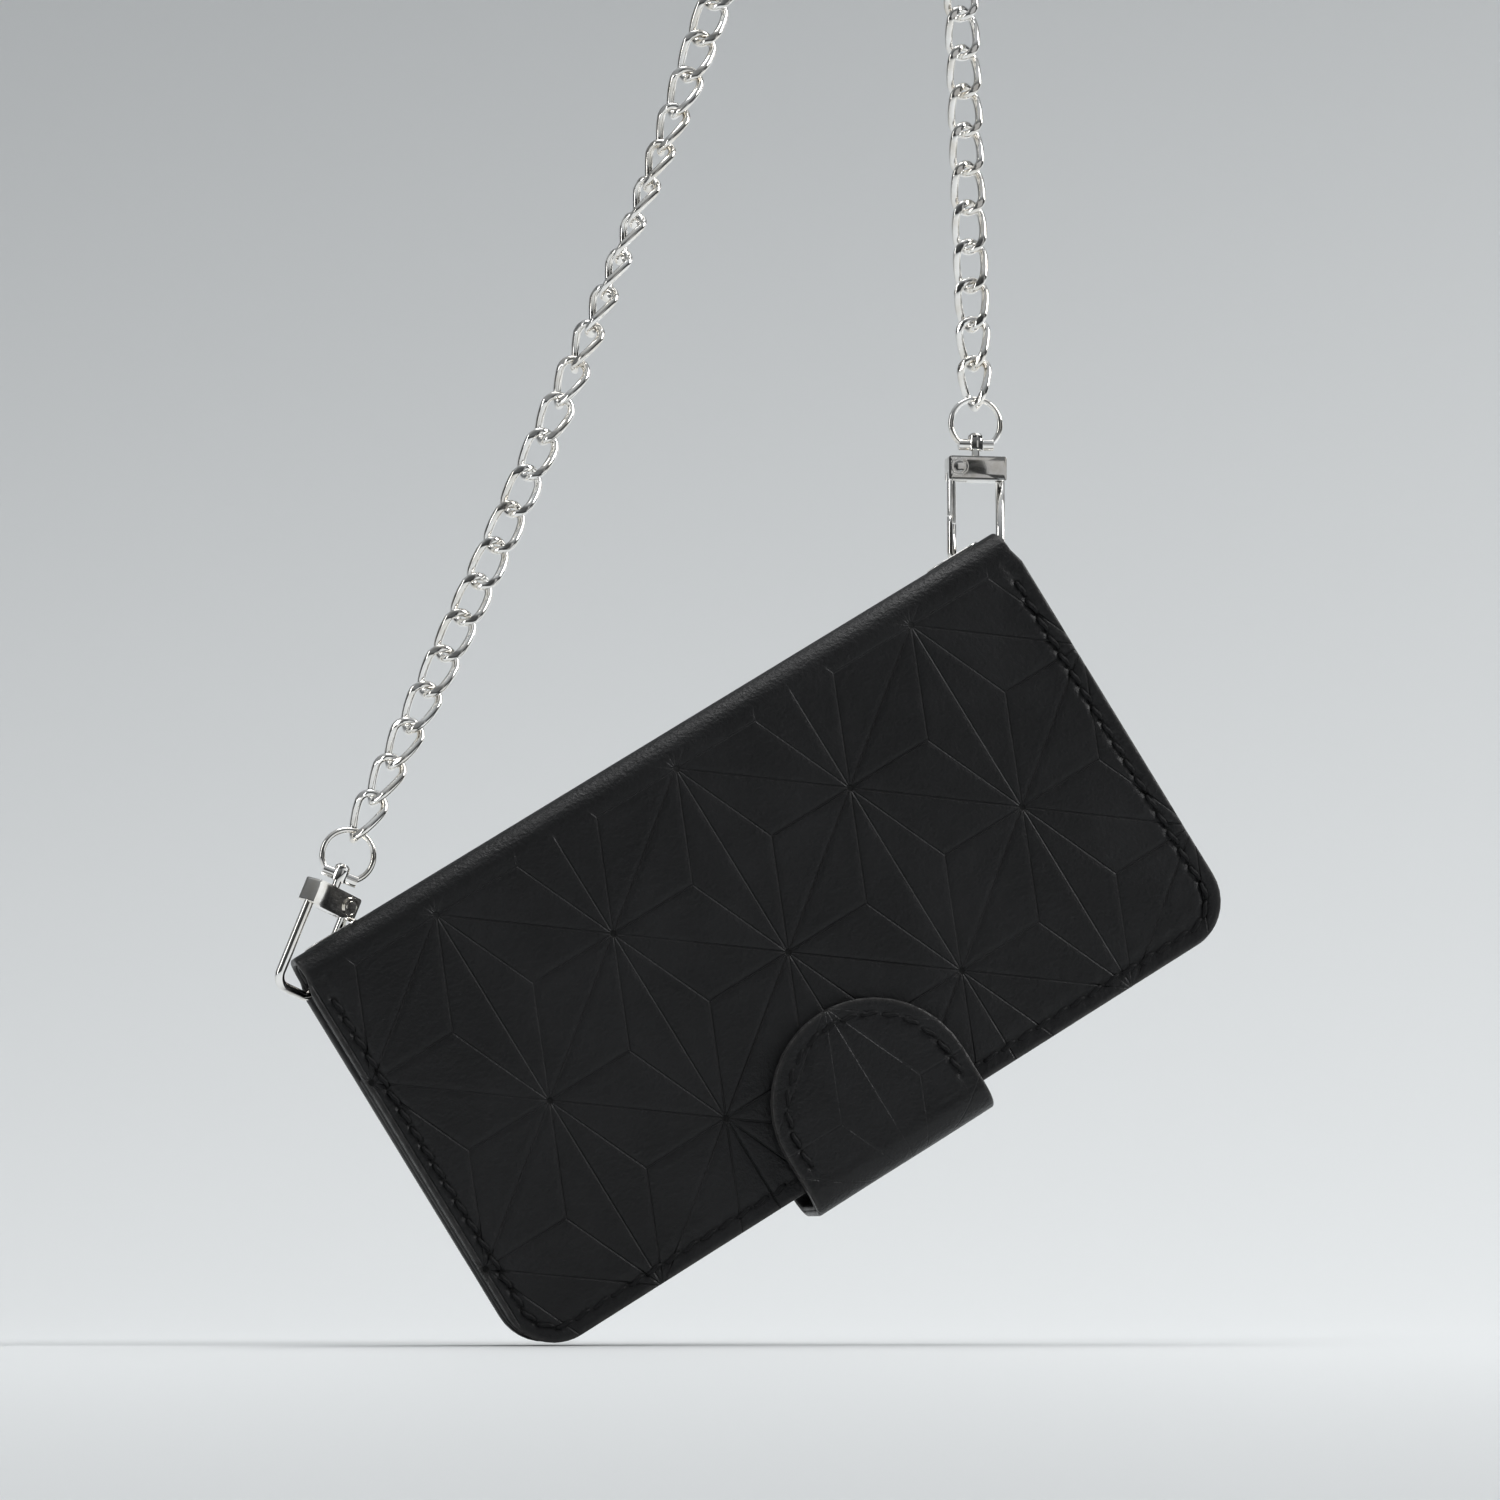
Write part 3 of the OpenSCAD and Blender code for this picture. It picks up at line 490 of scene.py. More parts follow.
def leather_shader(name, color, pattern=False, gloss=0.47, grain=1.0, fade=True, line_depth=1.0):
    """Black leather with fine grain, worn rims and painted shade in its stitch holes and, on the covers, the
    pressed star pattern with painted shade in its lines and stars.
    """
    m = Shader(name)
    place = m.place()
    pebble = m.cells(PEBBLES, place, feature="SMOOTH_F1")
    pores = m.cells(PORES, place)
    cloud = m.noise(55, 4, 0.6, place)
    crease = m.noise(330, 5, 0.6, place)
    fine = m.math("ADD", m.math("MULTIPLY", pebble, 0.7), m.math("MULTIPLY", pores, 0.3))
    fine = m.math("ADD", fine, m.math("MULTIPLY", crease, 0.8))
    normal = m.bump(fine, 0.75 * grain, GRAIN_HEIGHT)
    rim = m.attribute("rim")
    hole = m.span(m.attribute("hole"), 0.25, 0.75)
    worn = m.math("MULTIPLY", m.span(rim, 0.25, 0.95), m.span(m.noise(700, 3), 0.3, 0.65, 0.45, 1.0))
    base = m.mix(m.span(cloud, 0.35, 0.7), tint(color, 0.8), tint(color, 1.3))
    base = m.mix(m.math("MULTIPLY", worn, 0.55), base, tint(WORN_COLOR))
    rough = m.span(cloud, 0.3, 0.7, gloss - 0.04, gloss + 0.06)
    rough = m.math("ADD", rough, m.math("MULTIPLY", worn, -0.08))
    # Painted shade: the stitch holes are darkened to a tenth of the leather's colour.
    base = m.mix(hole, base, tint(color, 0.1))
    if pattern:
        uv = m.node("ShaderNodeUVMap", uv_map="flat").outputs[0]
        split = m.node("ShaderNodeSeparateXYZ")
        m.put(split.inputs[0], uv)
        p = m.math("DIVIDE", m.math("SUBTRACT", split.outputs[0], STAR_AT[0] * MM), STAR_STEP * MM)
        q = m.math("DIVIDE", m.math("SUBTRACT", split.outputs[1], STAR_AT[1] * MM), STAR_RISE * MM)
        fa = m.math("FRACT", m.math("MULTIPLY", m.math("ADD", p, q), 0.5))
        fb = m.math("FRACT", m.math("MULTIPLY", m.math("SUBTRACT", p, q), 0.5))
        over = m.math("GREATER_THAN", m.math("ADD", fa, fb), 1.0)
        turned = m.math("SUBTRACT", 1.0, m.math("MULTIPLY", over, 2.0))
        ba = m.math("ADD", over, m.math("MULTIPLY", turned, fa))
        bb = m.math("ADD", over, m.math("MULTIPLY", turned, fb))
        bc = m.math("SUBTRACT", m.math("SUBTRACT", 1.0, ba), bb)
        ab = m.math("MINIMUM", ba, bb)
        low = m.math("MINIMUM", ab, bc)
        high = m.math("MAXIMUM", m.math("MAXIMUM", ba, bb), bc)
        edge = m.math("MINIMUM", m.math("MULTIPLY", ab, HEIGHT_A), m.math("MULTIPLY", bc, HEIGHT_B))
        spoke = m.math("SUBTRACT", m.math("SUBTRACT", 1.0, high), m.math("MULTIPLY", low, 2.0))
        spoke = m.math("MULTIPLY", spoke, MEDIAN)
        away = m.math("MINIMUM", edge, spoke)
        line = m.span(away, 0.03, 0.26, 1.0, 0.0)
        weight = m.span(split.outputs[1], FADE_FROM * MM, FADE_TO * MM, 1.0, 0.0) if fade else 1.0
        uneven = m.span(m.noise(38, 2, 0.5, place), 0.3, 0.62, 0.35, 1.0)
        line = m.math("MULTIPLY", m.math("MULTIPLY", line, weight), uneven)
        near_a = m.math("ROUND", m.math("MULTIPLY", m.math("ADD", p, q), 0.5))
        near_b = m.math("ROUND", m.math("MULTIPLY", m.math("SUBTRACT", p, q), 0.5))
        star_x = m.math("MULTIPLY", m.math("SUBTRACT", p, m.math("ADD", near_a, near_b)), STAR_STEP)
        star_s = m.math("MULTIPLY", m.math("SUBTRACT", q, m.math("SUBTRACT", near_a, near_b)), STAR_RISE)
        star = m.math("POWER", m.math("ADD", m.math("POWER", star_x, 2.0), m.math("POWER", star_s, 2.0)), 0.5)
        punch = m.math("MULTIPLY", m.span(star, 0.45, 0.72, 1.0, 0.0), weight)
        normal = m.bump(m.math("MULTIPLY", line, -1.0), line_depth, LINE_PRESS, normal)
        normal = m.bump(m.math("MULTIPLY", punch, -1.0), 1.0, PUNCH_PRESS, normal)
        # Painted shade: the pressed lines are darkened in the base colour, and the punched star centres far
        # more, for the shade in their grooves and dimples.
        base = m.mix(m.math("MULTIPLY", line, 0.30), base, tint(color, 0.35))
        base = m.mix(punch, base, tint(color, 0.12))
        rough = m.math("ADD", rough, m.math("MULTIPLY", punch, 0.35))
    return m.set(Base_Color=base, Roughness=rough, Normal=normal, Specular_IOR_Level=0.33)


def thread_shader(name, color):
    m = Shader(name)
    fuzz = m.noise(5200, 3, 0.6)
    base = m.mix(fuzz, tint(color, 0.6), tint(color, 1.8))
    return m.set(
        Base_Color=base, Roughness=m.span(fuzz, 0.3, 0.7, 0.5, 0.66), Normal=m.bump(fuzz, 0.35, 0.00008),
        Specular_IOR_Level=0.22,
    )


def metal_shader(name, color, rough, wear=1.0):
    """Polished nickel plate with faint polishing marks and a little tarnish."""
    m = Shader(name)
    place = m.place()
    scratch = m.node("ShaderNodeMapping")
    scratch.inputs["Scale"].default_value = (1.0, 1.0, 0.08)
    m.put(scratch.inputs["Vector"], place)
    marks = m.noise(4200, 2, 0.6, scratch.outputs[0])
    cloud = m.noise(210, 4, 0.6, place)
    tarnished = (color[0] * 0.86, color[1] * 0.83, color[2] * 0.78)
    base = m.mix(m.span(cloud, 0.35, 0.72), tint(color), tint(tarnished))
    shine = m.span(cloud, 0.3, 0.75, rough * 0.7, rough * 1.5)
    shine = m.math("ADD", shine, m.span(marks, 0.55, 0.8, 0.0, 0.05 * wear))
    return m.set(
        Base_Color=base, Metallic=1.0, Roughness=shine, Normal=m.bump(marks, 0.05 * wear, 0.00003),
    )


def material_for(key):
    """The finish of that name, made once and then shared."""
    found = bpy.data.materials.get("wallet_" + key)
    if found is not None:
        return found
    look = bpy.context.scene.wallet_looks
    black = look.leather_color
    name = "wallet_" + key
    made = {
        "cover": lambda: leather_shader(name, black, pattern=True),
        "tab": lambda: leather_shader(name, black, pattern=True, fade=False, line_depth=0.45, gloss=0.42),
        "lining": lambda: leather_shader(name, (0.016, 0.016, 0.018), gloss=0.58, grain=0.7),
        "thread": lambda: thread_shader(name, look.thread_color),
        "nickel": lambda: metal_shader(name, look.metal_color, 0.07),
        "chain": lambda: metal_shader(name, look.metal_color, 0.08, 1.2),
        "steel": lambda: metal_shader(name, (0.55, 0.55, 0.57), 0.25),
        "magnet": lambda: metal_shader(name, (0.5, 0.5, 0.53), 0.3),
    }
    return made[key]()


# ---------- covers and spine ----------


def eyelet_edge(full):
    """Where the leather ends at the crown: at the middle line, or round an eyelet's barrel."""

    def end_at(x):
        d = np.abs(np.abs(x) - EYELET_X)
        straight = EYELET_HALF - EYELET_RADIUS
        over = np.clip(d - straight, 0, None)
        notch = np.sqrt(np.clip(EYELET_RADIUS**2 - over**2, 0, None))
        return full - np.where(d < EYELET_HALF, notch, 0.0)

    return end_at


def stitch_places(top):
    """The stitches of a cover, as (across, up, angle): down both ends, round the corners and along."""
    arc = CORNER - STITCH_MARGIN
    low = -HALF_HEIGHT + CORNER
    side = HALF_LENGTH - STITCH_MARGIN
    edge = HALF_LENGTH - CORNER
    n_side = int((top - low) // STITCH_PITCH)
    n_edge = round(2 * edge / STITCH_PITCH)
    n_corner = round(arc * math.pi / 2 / STITCH_PITCH)
    out = [(e * side, low + (i + 0.5) * STITCH_PITCH, 90.0) for e in (-1, 1) for i in range(n_side)]
    out += [(-edge + (i + 0.5) * 2 * edge / n_edge, -HALF_HEIGHT + STITCH_MARGIN, 0.0) for i in range(n_edge)]
    for e in (-1, 1):
        for i in range(n_corner):
            w = math.radians((i + 0.5) * 90 / n_corner)
            out.append((e * (edge + arc * math.cos(w)), low - arc * math.sin(w), e * (90 - math.degrees(w))))
    return out


def hole_places(stitches, reach):
    """Both ends of each stitch, as (across, up)."""
    out = []
    for x, z, w in stitches:
        c, s = math.cos(math.radians(w)), math.sin(math.radians(w))
        out += [(x + c * reach, z + s * reach), (x - c * reach, z - s * reach)]
    return np.array(out)


def dents(x, z, holes, depth, size):
    total = np.zeros(x.shape)
    for hx, hz in holes:
        near = (np.abs(x - hx) < 3 * size) & (np.abs(z - hz) < 3 * size)
        if near.any():
            r2 = (x[near] - hx) ** 2 + (z[near] - hz) ** 2
            total[near] = np.maximum(total[near], depth * np.exp(-r2 / size**2))
    return total


# Depths and heights of a cover's relief, and the width of a stitch hole, in mm
LINE_DEPTH = 0.14
LINE_SHOULDER = 0.03
STAR_DEPTH = 0.30
CHANNEL_DEPTH = 0.20
CHANNEL_SHOULDER = 0.10
HOLE_DEPTH = 0.5
HOLE_SIZE = 0.66


def cover_relief(holes, phase):
    """Height of a cover's outer face: pressed lines, punched stars, the stitch channel and soft waves."""

    def relief(x, s, depth):
        z = s - HALF_HEIGHT
        away, star = star_field(x, s)
        fade = 1 - np.clip((s - FADE_FROM) / (FADE_TO - FADE_FROM), 0, 1)
        h = -LINE_DEPTH * fade * np.exp(-((away / 0.40) ** 2))
        h = h + LINE_SHOULDER * fade * np.exp(-(((away - 1.2) / 0.7) ** 2))
        h = h - STAR_DEPTH * fade * np.exp(-((star / 1.3) ** 2))
        sewn = s < HALF_HEIGHT + FOLD_Z
        h = h - CHANNEL_DEPTH * np.exp(-(((depth - STITCH_MARGIN) / 0.75) ** 2)) * sewn
        h = h + CHANNEL_SHOULDER * np.exp(-(((depth - STITCH_MARGIN - 1.9) / 0.9) ** 2)) * sewn
        h = h - dents(x, z, holes, HOLE_DEPTH, HOLE_SIZE)
        soft = 0.12 * np.sin(x * 0.071 + phase) * np.sin(s * 0.093 + 1.7 * phase)
        soft = soft + 0.05 * np.sin(x * 0.19 + s * 0.13 + phase)
        return h + soft * np.clip(depth / 6, 0, 1) * np.clip((HALF_HEIGHT + 40 - s) / 10, 0, 1)

    return relief


STITCHES = stitch_places(FOLD_Z - 2)
STITCH_REACH = STITCH_PITCH / 2 - 0.35


def narrow_spine(s):
    return HALF_LENGTH - 0.8 * np.clip((s - HALF_HEIGHT - FOLD_Z + 1.5) / 3.0, 0, 1)


def make_covers():
    holes = hole_places(STITCHES, STITCH_REACH)
    top = HALF_HEIGHT - SPINE_RADIUS
    inner = HALF_DEPTH - SPINE_RADIUS
    for side, body, names in ((-1, "front", ("front_cover", "spine")), (1, "back", ("back_cover",))):
        arc = (180, 90) if side < 0 else (0, 90)
        path = path_of([
            ("at", side * HALF_DEPTH, -HALF_HEIGHT),
            ("to", side * HALF_DEPTH, top),
            ("arc", side * inner, top, *arc, SPINE_RADIUS),
            ("to", 0.0, HALF_HEIGHT),
        ])
        full = path[0][-1]
        sheet = sheet_mesh(
            f"{body}_leather", path, HALF_LENGTH, LEATHER, material_for("cover"), turn=-side,
            start_radius=CORNER, edge=0.6, step=0.46, relief=cover_relief(holes, 0.6 if side < 0 else 2.1),
            # Painted shade: how dark each stitch hole is painted, from 0 to 1.
            holes=lambda x, s: dents(x, s - HALF_HEIGHT, holes, 1.0, HOLE_SIZE),
            end_at=eyelet_edge(full), narrow=narrow_spine, coarse=8,
        )
        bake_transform(sheet)
        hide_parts(*names)


# Heights of the pockets' mouths, and the sizes of their finger notches, in mm
FRONT_MOUTH = -HALF_HEIGHT + 34.0
POCKET_STEP = 13.0
NOTE_MOUTH = -HALF_HEIGHT + 62.0
POCKET_INSET = 0.4
CARD_NOTCH_X = 94.0 / 2 - HALF_LENGTH + 5
CARD_NOTCH_RADIUS = 9
NOTE_NOTCH_RADIUS = 12
NOTE_NOTCH_DROP = 4


def straight(y, low, high):
    return path_of([("at", y, low), ("to", y, high)])


def make_interior():
    lining = material_for("lining")

    obj = sheet_mesh(
        "front_lining_leather", straight(-HALF_DEPTH + WALL, -HALF_HEIGHT, FOLD_Z - 1.5), HALF_LENGTH,
        WALL - LEATHER - 0.02, lining, turn=-1, start_radius=CORNER, end_radius=0.6, edge=0.5, step=2.0,
    )
    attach(obj, "front_body")
    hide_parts("front_lining", "front_board")
    for layer, which in enumerate(("rear", "middle", "front")):
        high = FRONT_MOUTH + (2 - layer) * POCKET_STEP
        end_at = None
        total = high + HALF_HEIGHT - POCKET_INSET
        if layer == 2:
            reach = CARD_NOTCH_RADIUS**2
            end_at = lambda x, t=total: t - np.sqrt(np.clip(reach - (x - CARD_NOTCH_X) ** 2, 0, None))
        y = -HALF_DEPTH + WALL + (layer + 1) * POCKET
        obj = sheet_mesh(
            f"card_pocket_{which}_leather", straight(y, -HALF_HEIGHT + POCKET_INSET, high),
            HALF_LENGTH - POCKET_INSET, POCKET - 0.02, lining, turn=-1,
            start_radius=CORNER - POCKET_INSET, end_radius=0.5, edge=0.3, step=1.0,
            end_at=end_at, relief=pocket_relief(total),
        )
        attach(obj, "front_body")
        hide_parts(f"card_pocket_{which}")
    obj = sheet_mesh(
        "back_lining_leather", straight(HALF_DEPTH - WALL, -HALF_HEIGHT, FOLD_Z - 1.5), HALF_LENGTH,
        WALL - LEATHER - 0.02, lining, turn=1, start_radius=CORNER, end_radius=0.6, edge=0.5, step=2.0,
    )
    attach(obj, "back_body")
    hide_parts("back_lining", "back_board")
    total = NOTE_MOUTH + HALF_HEIGHT - POCKET_INSET

    def note_end(x):
        notch = np.sqrt(np.clip(NOTE_NOTCH_RADIUS**2 - x**2, 0, None)) - NOTE_NOTCH_DROP
        return total - np.clip(notch, 0, None)

    note_face = HALF_DEPTH - WALL - NOTE_GAP - POCKET
    obj = sheet_mesh(
        "note_pocket_leather", straight(note_face, -HALF_HEIGHT + POCKET_INSET, NOTE_MOUTH),
        HALF_LENGTH - POCKET_INSET, POCKET + NOTE_GAP - 0.02, lining, turn=1,
        start_radius=CORNER - POCKET_INSET, end_radius=0.5, edge=0.4, step=1.0,
        relief=pocket_relief(total), end_at=note_end,
    )
    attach(obj, "back_body")
    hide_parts("note_pocket_panel")
    r = SPINE_RADIUS - LEATHER - LINING
    top = HALF_HEIGHT - SPINE_RADIUS
    y = HALF_DEPTH - LEATHER - LINING
    inner = HALF_DEPTH - SPINE_RADIUS
    for side, which in ((-1, "front"), (1, "back")):
        arc = (180, 90) if side < 0 else (0, 90)
        path = path_of([
            ("at", side * y, FOLD_Z + 0.8), ("to", side * y, top + 0.01),
            ("arc", side * inner, top, *arc, r), ("to", 0.0, HALF_HEIGHT - LEATHER - LINING),
        ])
        obj = sheet_mesh(
            f"spine_lining_{which}", path, HALF_LENGTH - 1.5, LINING - 0.03, lining, turn=side,
            edge=0.2, step=0.8, end_at=eyelet_edge(path[0][-1]), coarse=2,
        )
        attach(obj, "spine_body")
        if side < 0:
            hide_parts("spine_lining")


def pocket_relief(total):
    """A pressed line just below a pocket's mouth, and a shallow channel where it is sewn down."""

    def relief(x, s, depth):
        h = -0.12 * np.exp(-(((total - s - 2.0) / 0.35) ** 2)) * (depth < 60)
        return h - 0.12 * np.exp(-(((depth - STITCH_MARGIN + 0.4) / 0.7) ** 2)) * (total - s > 4)

    return relief


FAR_OFF = 999  # a place with no stitch near it
TAB_STAR_SHIFT = 7.0  # mm that the stars are moved along the tab
ROOT_RUN = 24  # mm of the tab's strip that lie on the back cover


def make_tab():
    mid = TAB_LOW + TAB_BEND
    path = path_of([
        ("at", TAB_BACK_Y, ROOT_TOP),
        ("to", TAB_BACK_Y, mid),
        ("arc", TAB_BACK_Y - TAB_BEND, mid, 0, -90, TAB_BEND),
        ("to", TAB_FRONT_Y + TAB_BEND, TAB_LOW),
        ("arc", TAB_FRONT_Y + TAB_BEND, mid, -90, -180, TAB_BEND),
        ("to", TAB_FRONT_Y, TAB_TIP),
    ])
    total = path[0][-1]
    holes = hole_places(tab_stitches(), STITCH_REACH)
    root = hole_places(root_stitches(), STITCH_REACH)

    def relief(x, s, depth):
        z = TAB_TIP - (total - s)
        z_back = ROOT_TOP - s
        straight_front = total - s < TAB_TIP - mid
        h = -0.16 * np.exp(-(((depth - STITCH_MARGIN) / 0.7) ** 2)) * ((s > total - 30) | (s < 22))
        h = h + 0.08 * np.exp(-(((depth - STITCH_MARGIN - 2.0) / 0.9) ** 2)) * (s > total - 30)
        away, _ = star_field(x, s + TAB_STAR_SHIFT)
        h = h - 0.07 * np.exp(-((away / 0.5) ** 2)) * (depth > 4) * straight_front
        h = h - dents(x, np.where(straight_front, z, FAR_OFF), holes, 0.3, 0.55)
        h = h - dents(x, np.where(s < ROOT_RUN, z_back, FAR_OFF), root, 0.3, 0.55)
        return h + 0.05 * np.sin(x * 0.2) * np.sin(s * 0.15)

    # Painted shade: how dark the stitch holes on the tab's front and on its root are painted, from 0 to 1.
    def pierced(x, s):
        z = TAB_TIP - (total - s)
        front_hole_shade = dents(x, np.where(total - s < TAB_TIP - mid, z, FAR_OFF), holes, 1.0, 0.62)
        return front_hole_shade + dents(x, np.where(s < ROOT_RUN, ROOT_TOP - s, FAR_OFF), root, 1.0, 0.62)

    outer = sheet_mesh(
        "tab_leather", path, TAB_HALF, TAB_LEATHER, material_for("tab"), turn=1, start_radius=4.0,
        end_radius=TAB_HALF - 0.01, edge=0.55, step=0.42, relief=relief, coarse=6, holes=pierced,
    )
    inner_path = path_of([
        ("at", TAB_BACK_Y - TAB_LEATHER, ROOT_TOP),
        ("to", TAB_BACK_Y - TAB_LEATHER, mid),
        ("arc", TAB_BACK_Y - TAB_BEND, mid, 0, -90, TAB_BEND - TAB_LEATHER),
        ("to", TAB_FRONT_Y + TAB_BEND, TAB_LOW + TAB_LEATHER),
        ("arc", TAB_FRONT_Y + TAB_BEND, mid, -90, -180, TAB_BEND - TAB_LEATHER),
        ("to", TAB_FRONT_Y + TAB_LEATHER, TAB_TIP),
    ])
    lining = sheet_mesh(
        "tab_lining_leather", inner_path, TAB_HALF, TAB_THICK - TAB_LEATHER, material_for("lining"), turn=1,
        start_radius=4.0, end_radius=TAB_HALF - 0.01, edge=0.38, step=1.2, coarse=2,
    )
    for obj, nodes, name in (
        (outer, ("tab_flap", "tab_root"), "outer_leather"), (lining, ("tab_lining",), "lining_leather"),
    ):
        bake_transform(obj)
        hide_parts(*nodes)


# ---------- stitching ----------


STITCH_LIFT = 0.42
MOUTH_CLEAR = 3  # mm between a pocket's mouth and the nearest inner stitch
STITCH_SLANT = 7  # degrees, and how much it varies from stitch to stitch
STITCH_UNEVEN = 2.5


def one_stitch(length, radius, lift, sides=10, rings=15):
    """A short run of two-ply thread along X with its height along Z, both ends dipping into their holes."""
    t = np.linspace(-1, 1, rings)
    height = lift * (1 - np.abs(t) ** 3.2) - lift * 0.9
    centres = np.stack([t * length / 2, 0.05 * np.sin(t * 3.1), height], -1)
    w = np.linspace(0, 2 * math.pi, sides, endpoint=False)
    size = np.sqrt(np.clip(1 - np.abs(t) ** 6, 0.12, 1))
    r = radius * size[:, None] * (1 + 0.13 * np.cos(2 * w[None, :] - t[:, None] * 5.5))
    return tube(centres, np.tile([0, 1.0, 0], (rings, 1)), r, sides)


def stitch_row(places, y, out):
    """Stitches on the face at depth y, whose outside is towards out, slanting a little as sewn."""
    look = bpy.context.scene.wallet_looks
    p, f = one_stitch(look.stitch_length, look.thread_radius, STITCH_LIFT)
    parts = []
    for k, (x, z, w) in enumerate(places):
        slant = STITCH_SLANT * (1 if out < 0 else -1) + STITCH_UNEVEN * math.sin(k * 2.4)
        a = math.radians(w + slant)
        c, s = math.cos(a), math.sin(a)
        q = np.stack([
            x + p[:, 0] * c - p[:, 1] * s,
            y + out * (p[:, 2] + 0.02),
            z + p[:, 0] * s + p[:, 1] * c,
        ], -1)
        parts.append((q, f if out < 0 else [face[::-1] for face in f]))
    return parts


def tab_stitches():
    r = TAB_HALF - STITCH_MARGIN
    z = TAB_TIP - TAB_HALF
    n = round(math.pi * r / STITCH_PITCH)
    side = int((z - TAB_FOLD[1]) // STITCH_PITCH)
    out = []
    for i in range(n):
        w = math.radians((i + 0.5) * 180 / n)
        out.append((r * math.cos(w), z + r * math.sin(w), math.degrees(w) - 90))
    out += [(e * r, z - (i + 0.5) * STITCH_PITCH, 90.0) for e in (-1, 1) for i in range(side)]
    return out


def root_stitches():
    low = TAB_FOLD[1] + TAB_THICK / 2 + 2
    x = TAB_HALF - STITCH_MARGIN
    rows = int((ROOT_TOP - STITCH_MARGIN - low) // STITCH_PITCH)
    columns = round(2 * x / STITCH_PITCH)
    out = [(e * x, low + (i + 0.5) * STITCH_PITCH, 90.0) for e in (-1, 1) for i in range(rows)]
    return out + [(-x + (i + 0.5) * 2 * x / columns, ROOT_TOP - STITCH_MARGIN, 0.0) for i in range(columns)]


def make_stitching():
    thread = material_for("thread")
    mouths = [FRONT_MOUTH + k * POCKET_STEP for k in range(3)]
    front = stitch_row(STITCHES, -HALF_DEPTH + 0.18, -1)
    for place in STITCHES:
        z = place[1]
        if min(abs(z - mouth) for mouth in mouths) >= MOUTH_CLEAR:
            layers = sum(1 for mouth in mouths if z + MOUTH_CLEAR < mouth)
            front += stitch_row([place], -HALF_DEPTH + WALL + layers * POCKET - 0.08, 1)
    clear = [p for p in STITCHES if abs(p[0]) > TAB_HALF + 2 or p[1] > ROOT_TOP]
    back = stitch_row(clear, HALF_DEPTH - 0.18, 1)
    for place in STITCHES:
        if place[1] + MOUTH_CLEAR < NOTE_MOUTH:
            back += stitch_row([place], HALF_DEPTH - WALL - NOTE_GAP - POCKET + 0.08, -1)
        elif place[1] > NOTE_MOUTH:
            back += stitch_row([place], HALF_DEPTH - WALL + 0.08, -1)
    rows = (
        ("front_thread", front, "front_body", "front_stitching"),
        ("back_thread", back, "back_body", "back_stitching"),
        ("tab_thread", stitch_row(tab_stitches(), TAB_FRONT_Y + 0.12, -1), "tab_body", "tab_stitching"),
        ("root_thread", stitch_row(root_stitches(), TAB_BACK_Y - 0.12, 1), "back_body", "root_stitching"),
    )
    for name, parts, body, node in rows:
        points, faces = merged(parts)
        obj = build_mesh(name, from_wallet(points), faces, thread, 60)
        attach(obj, body)
        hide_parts(node)


# ---------- clasps ----------

CLASP_BEVEL = {
    "swivel_ring": 0.10, "swivel_post": 0.14, "clasp_block": 0.28, "clasp_frame": 0.0, "gate": 0.16,
    "gate_rivet": 0.07, "eyelet": 0.10, "eyelet_washer": 0.08, "gate_spring": 0.05,
}


def polished(node, bevel, body, material):
    """A copy of a metal node with its hard edges eased, as polishing leaves them."""
    source = NODES[node]
    mesh = source.data.copy()
    mesh.name = node + "_polished"
    mesh.materials.clear()
    obj = new_object(node + "_polished", mesh, material)
    for key in list(obj.keys()):
        del obj[key]
    weld = obj.modifiers.new("weld", "WELD")
    weld.merge_threshold = 2e-6
    if bevel:
        ease = obj.modifiers.new("ease", "BEVEL")
        ease.width = bevel * MM
        ease.segments = 3
        ease.limit_method = "ANGLE"
        ease.angle_limit = math.radians(35)
        ease.use_clamp_overlap = True
    bpy.context.view_layer.update()
    depsgraph = bpy.context.evaluated_depsgraph_get()
    final = bpy.data.meshes.new_from_object(obj.evaluated_get(depsgraph))
    obj.modifiers.clear()
    obj.data = final
    final.shade_smooth()
    final.set_sharp_from_angle(angle=math.radians(38))
    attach(obj, body)
    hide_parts(node)
    return obj


def make_clasps():
    nickel = material_for("nickel")
    for side in ("left", "right"):
        for kind, bevel in CLASP_BEVEL.items():
            body = "spine_body"
            if kind == "swivel_ring":
                body = f"{side}_ring_body"
            if kind == "gate":
                body = f"{side}_gate_body"
            steel = kind == "gate_spring"
            polished(
                f"{side}_{kind}", bevel, body, material_for("steel") if steel else nickel,
            )


# ---------- chain ----------

ARCH_RADIUS = 20.0
LINK_WIDTH = 6.9
LINK_WIRE = 1.55
LINK_PLAY = 0.3
LINK_TWIST = 90.0
RING_WIRE = 1.1
RING_RADIUS = (10.8 - RING_WIRE) / 2
ARCH_CENTRE = row([0, 0, LINK_WIDTH / 2 - ARCH_RADIUS])
LEFT_ARCH = 17.5
RIGHT_ARCH = 1.2
SAG = 4.2
GROUND = 1.74  # half the thickness that the links are ground down to, in mm
LEFT_FACE_RUN = 62
LEFT_TURN_RUN = 125
LEFT_TURN = 40
RIGHT_FACE_RUN = 45
SAG_WAY = row([math.cos(math.radians(22)), 0, -math.sin(math.radians(22))])
PITCH_WANTED = 7.7


def ring_top(side):
    j = JOINTS[f"{side}_swivel"]
    return row(j["pos_m"]) / MM + row(j["axis"]) * RING_RADIUS


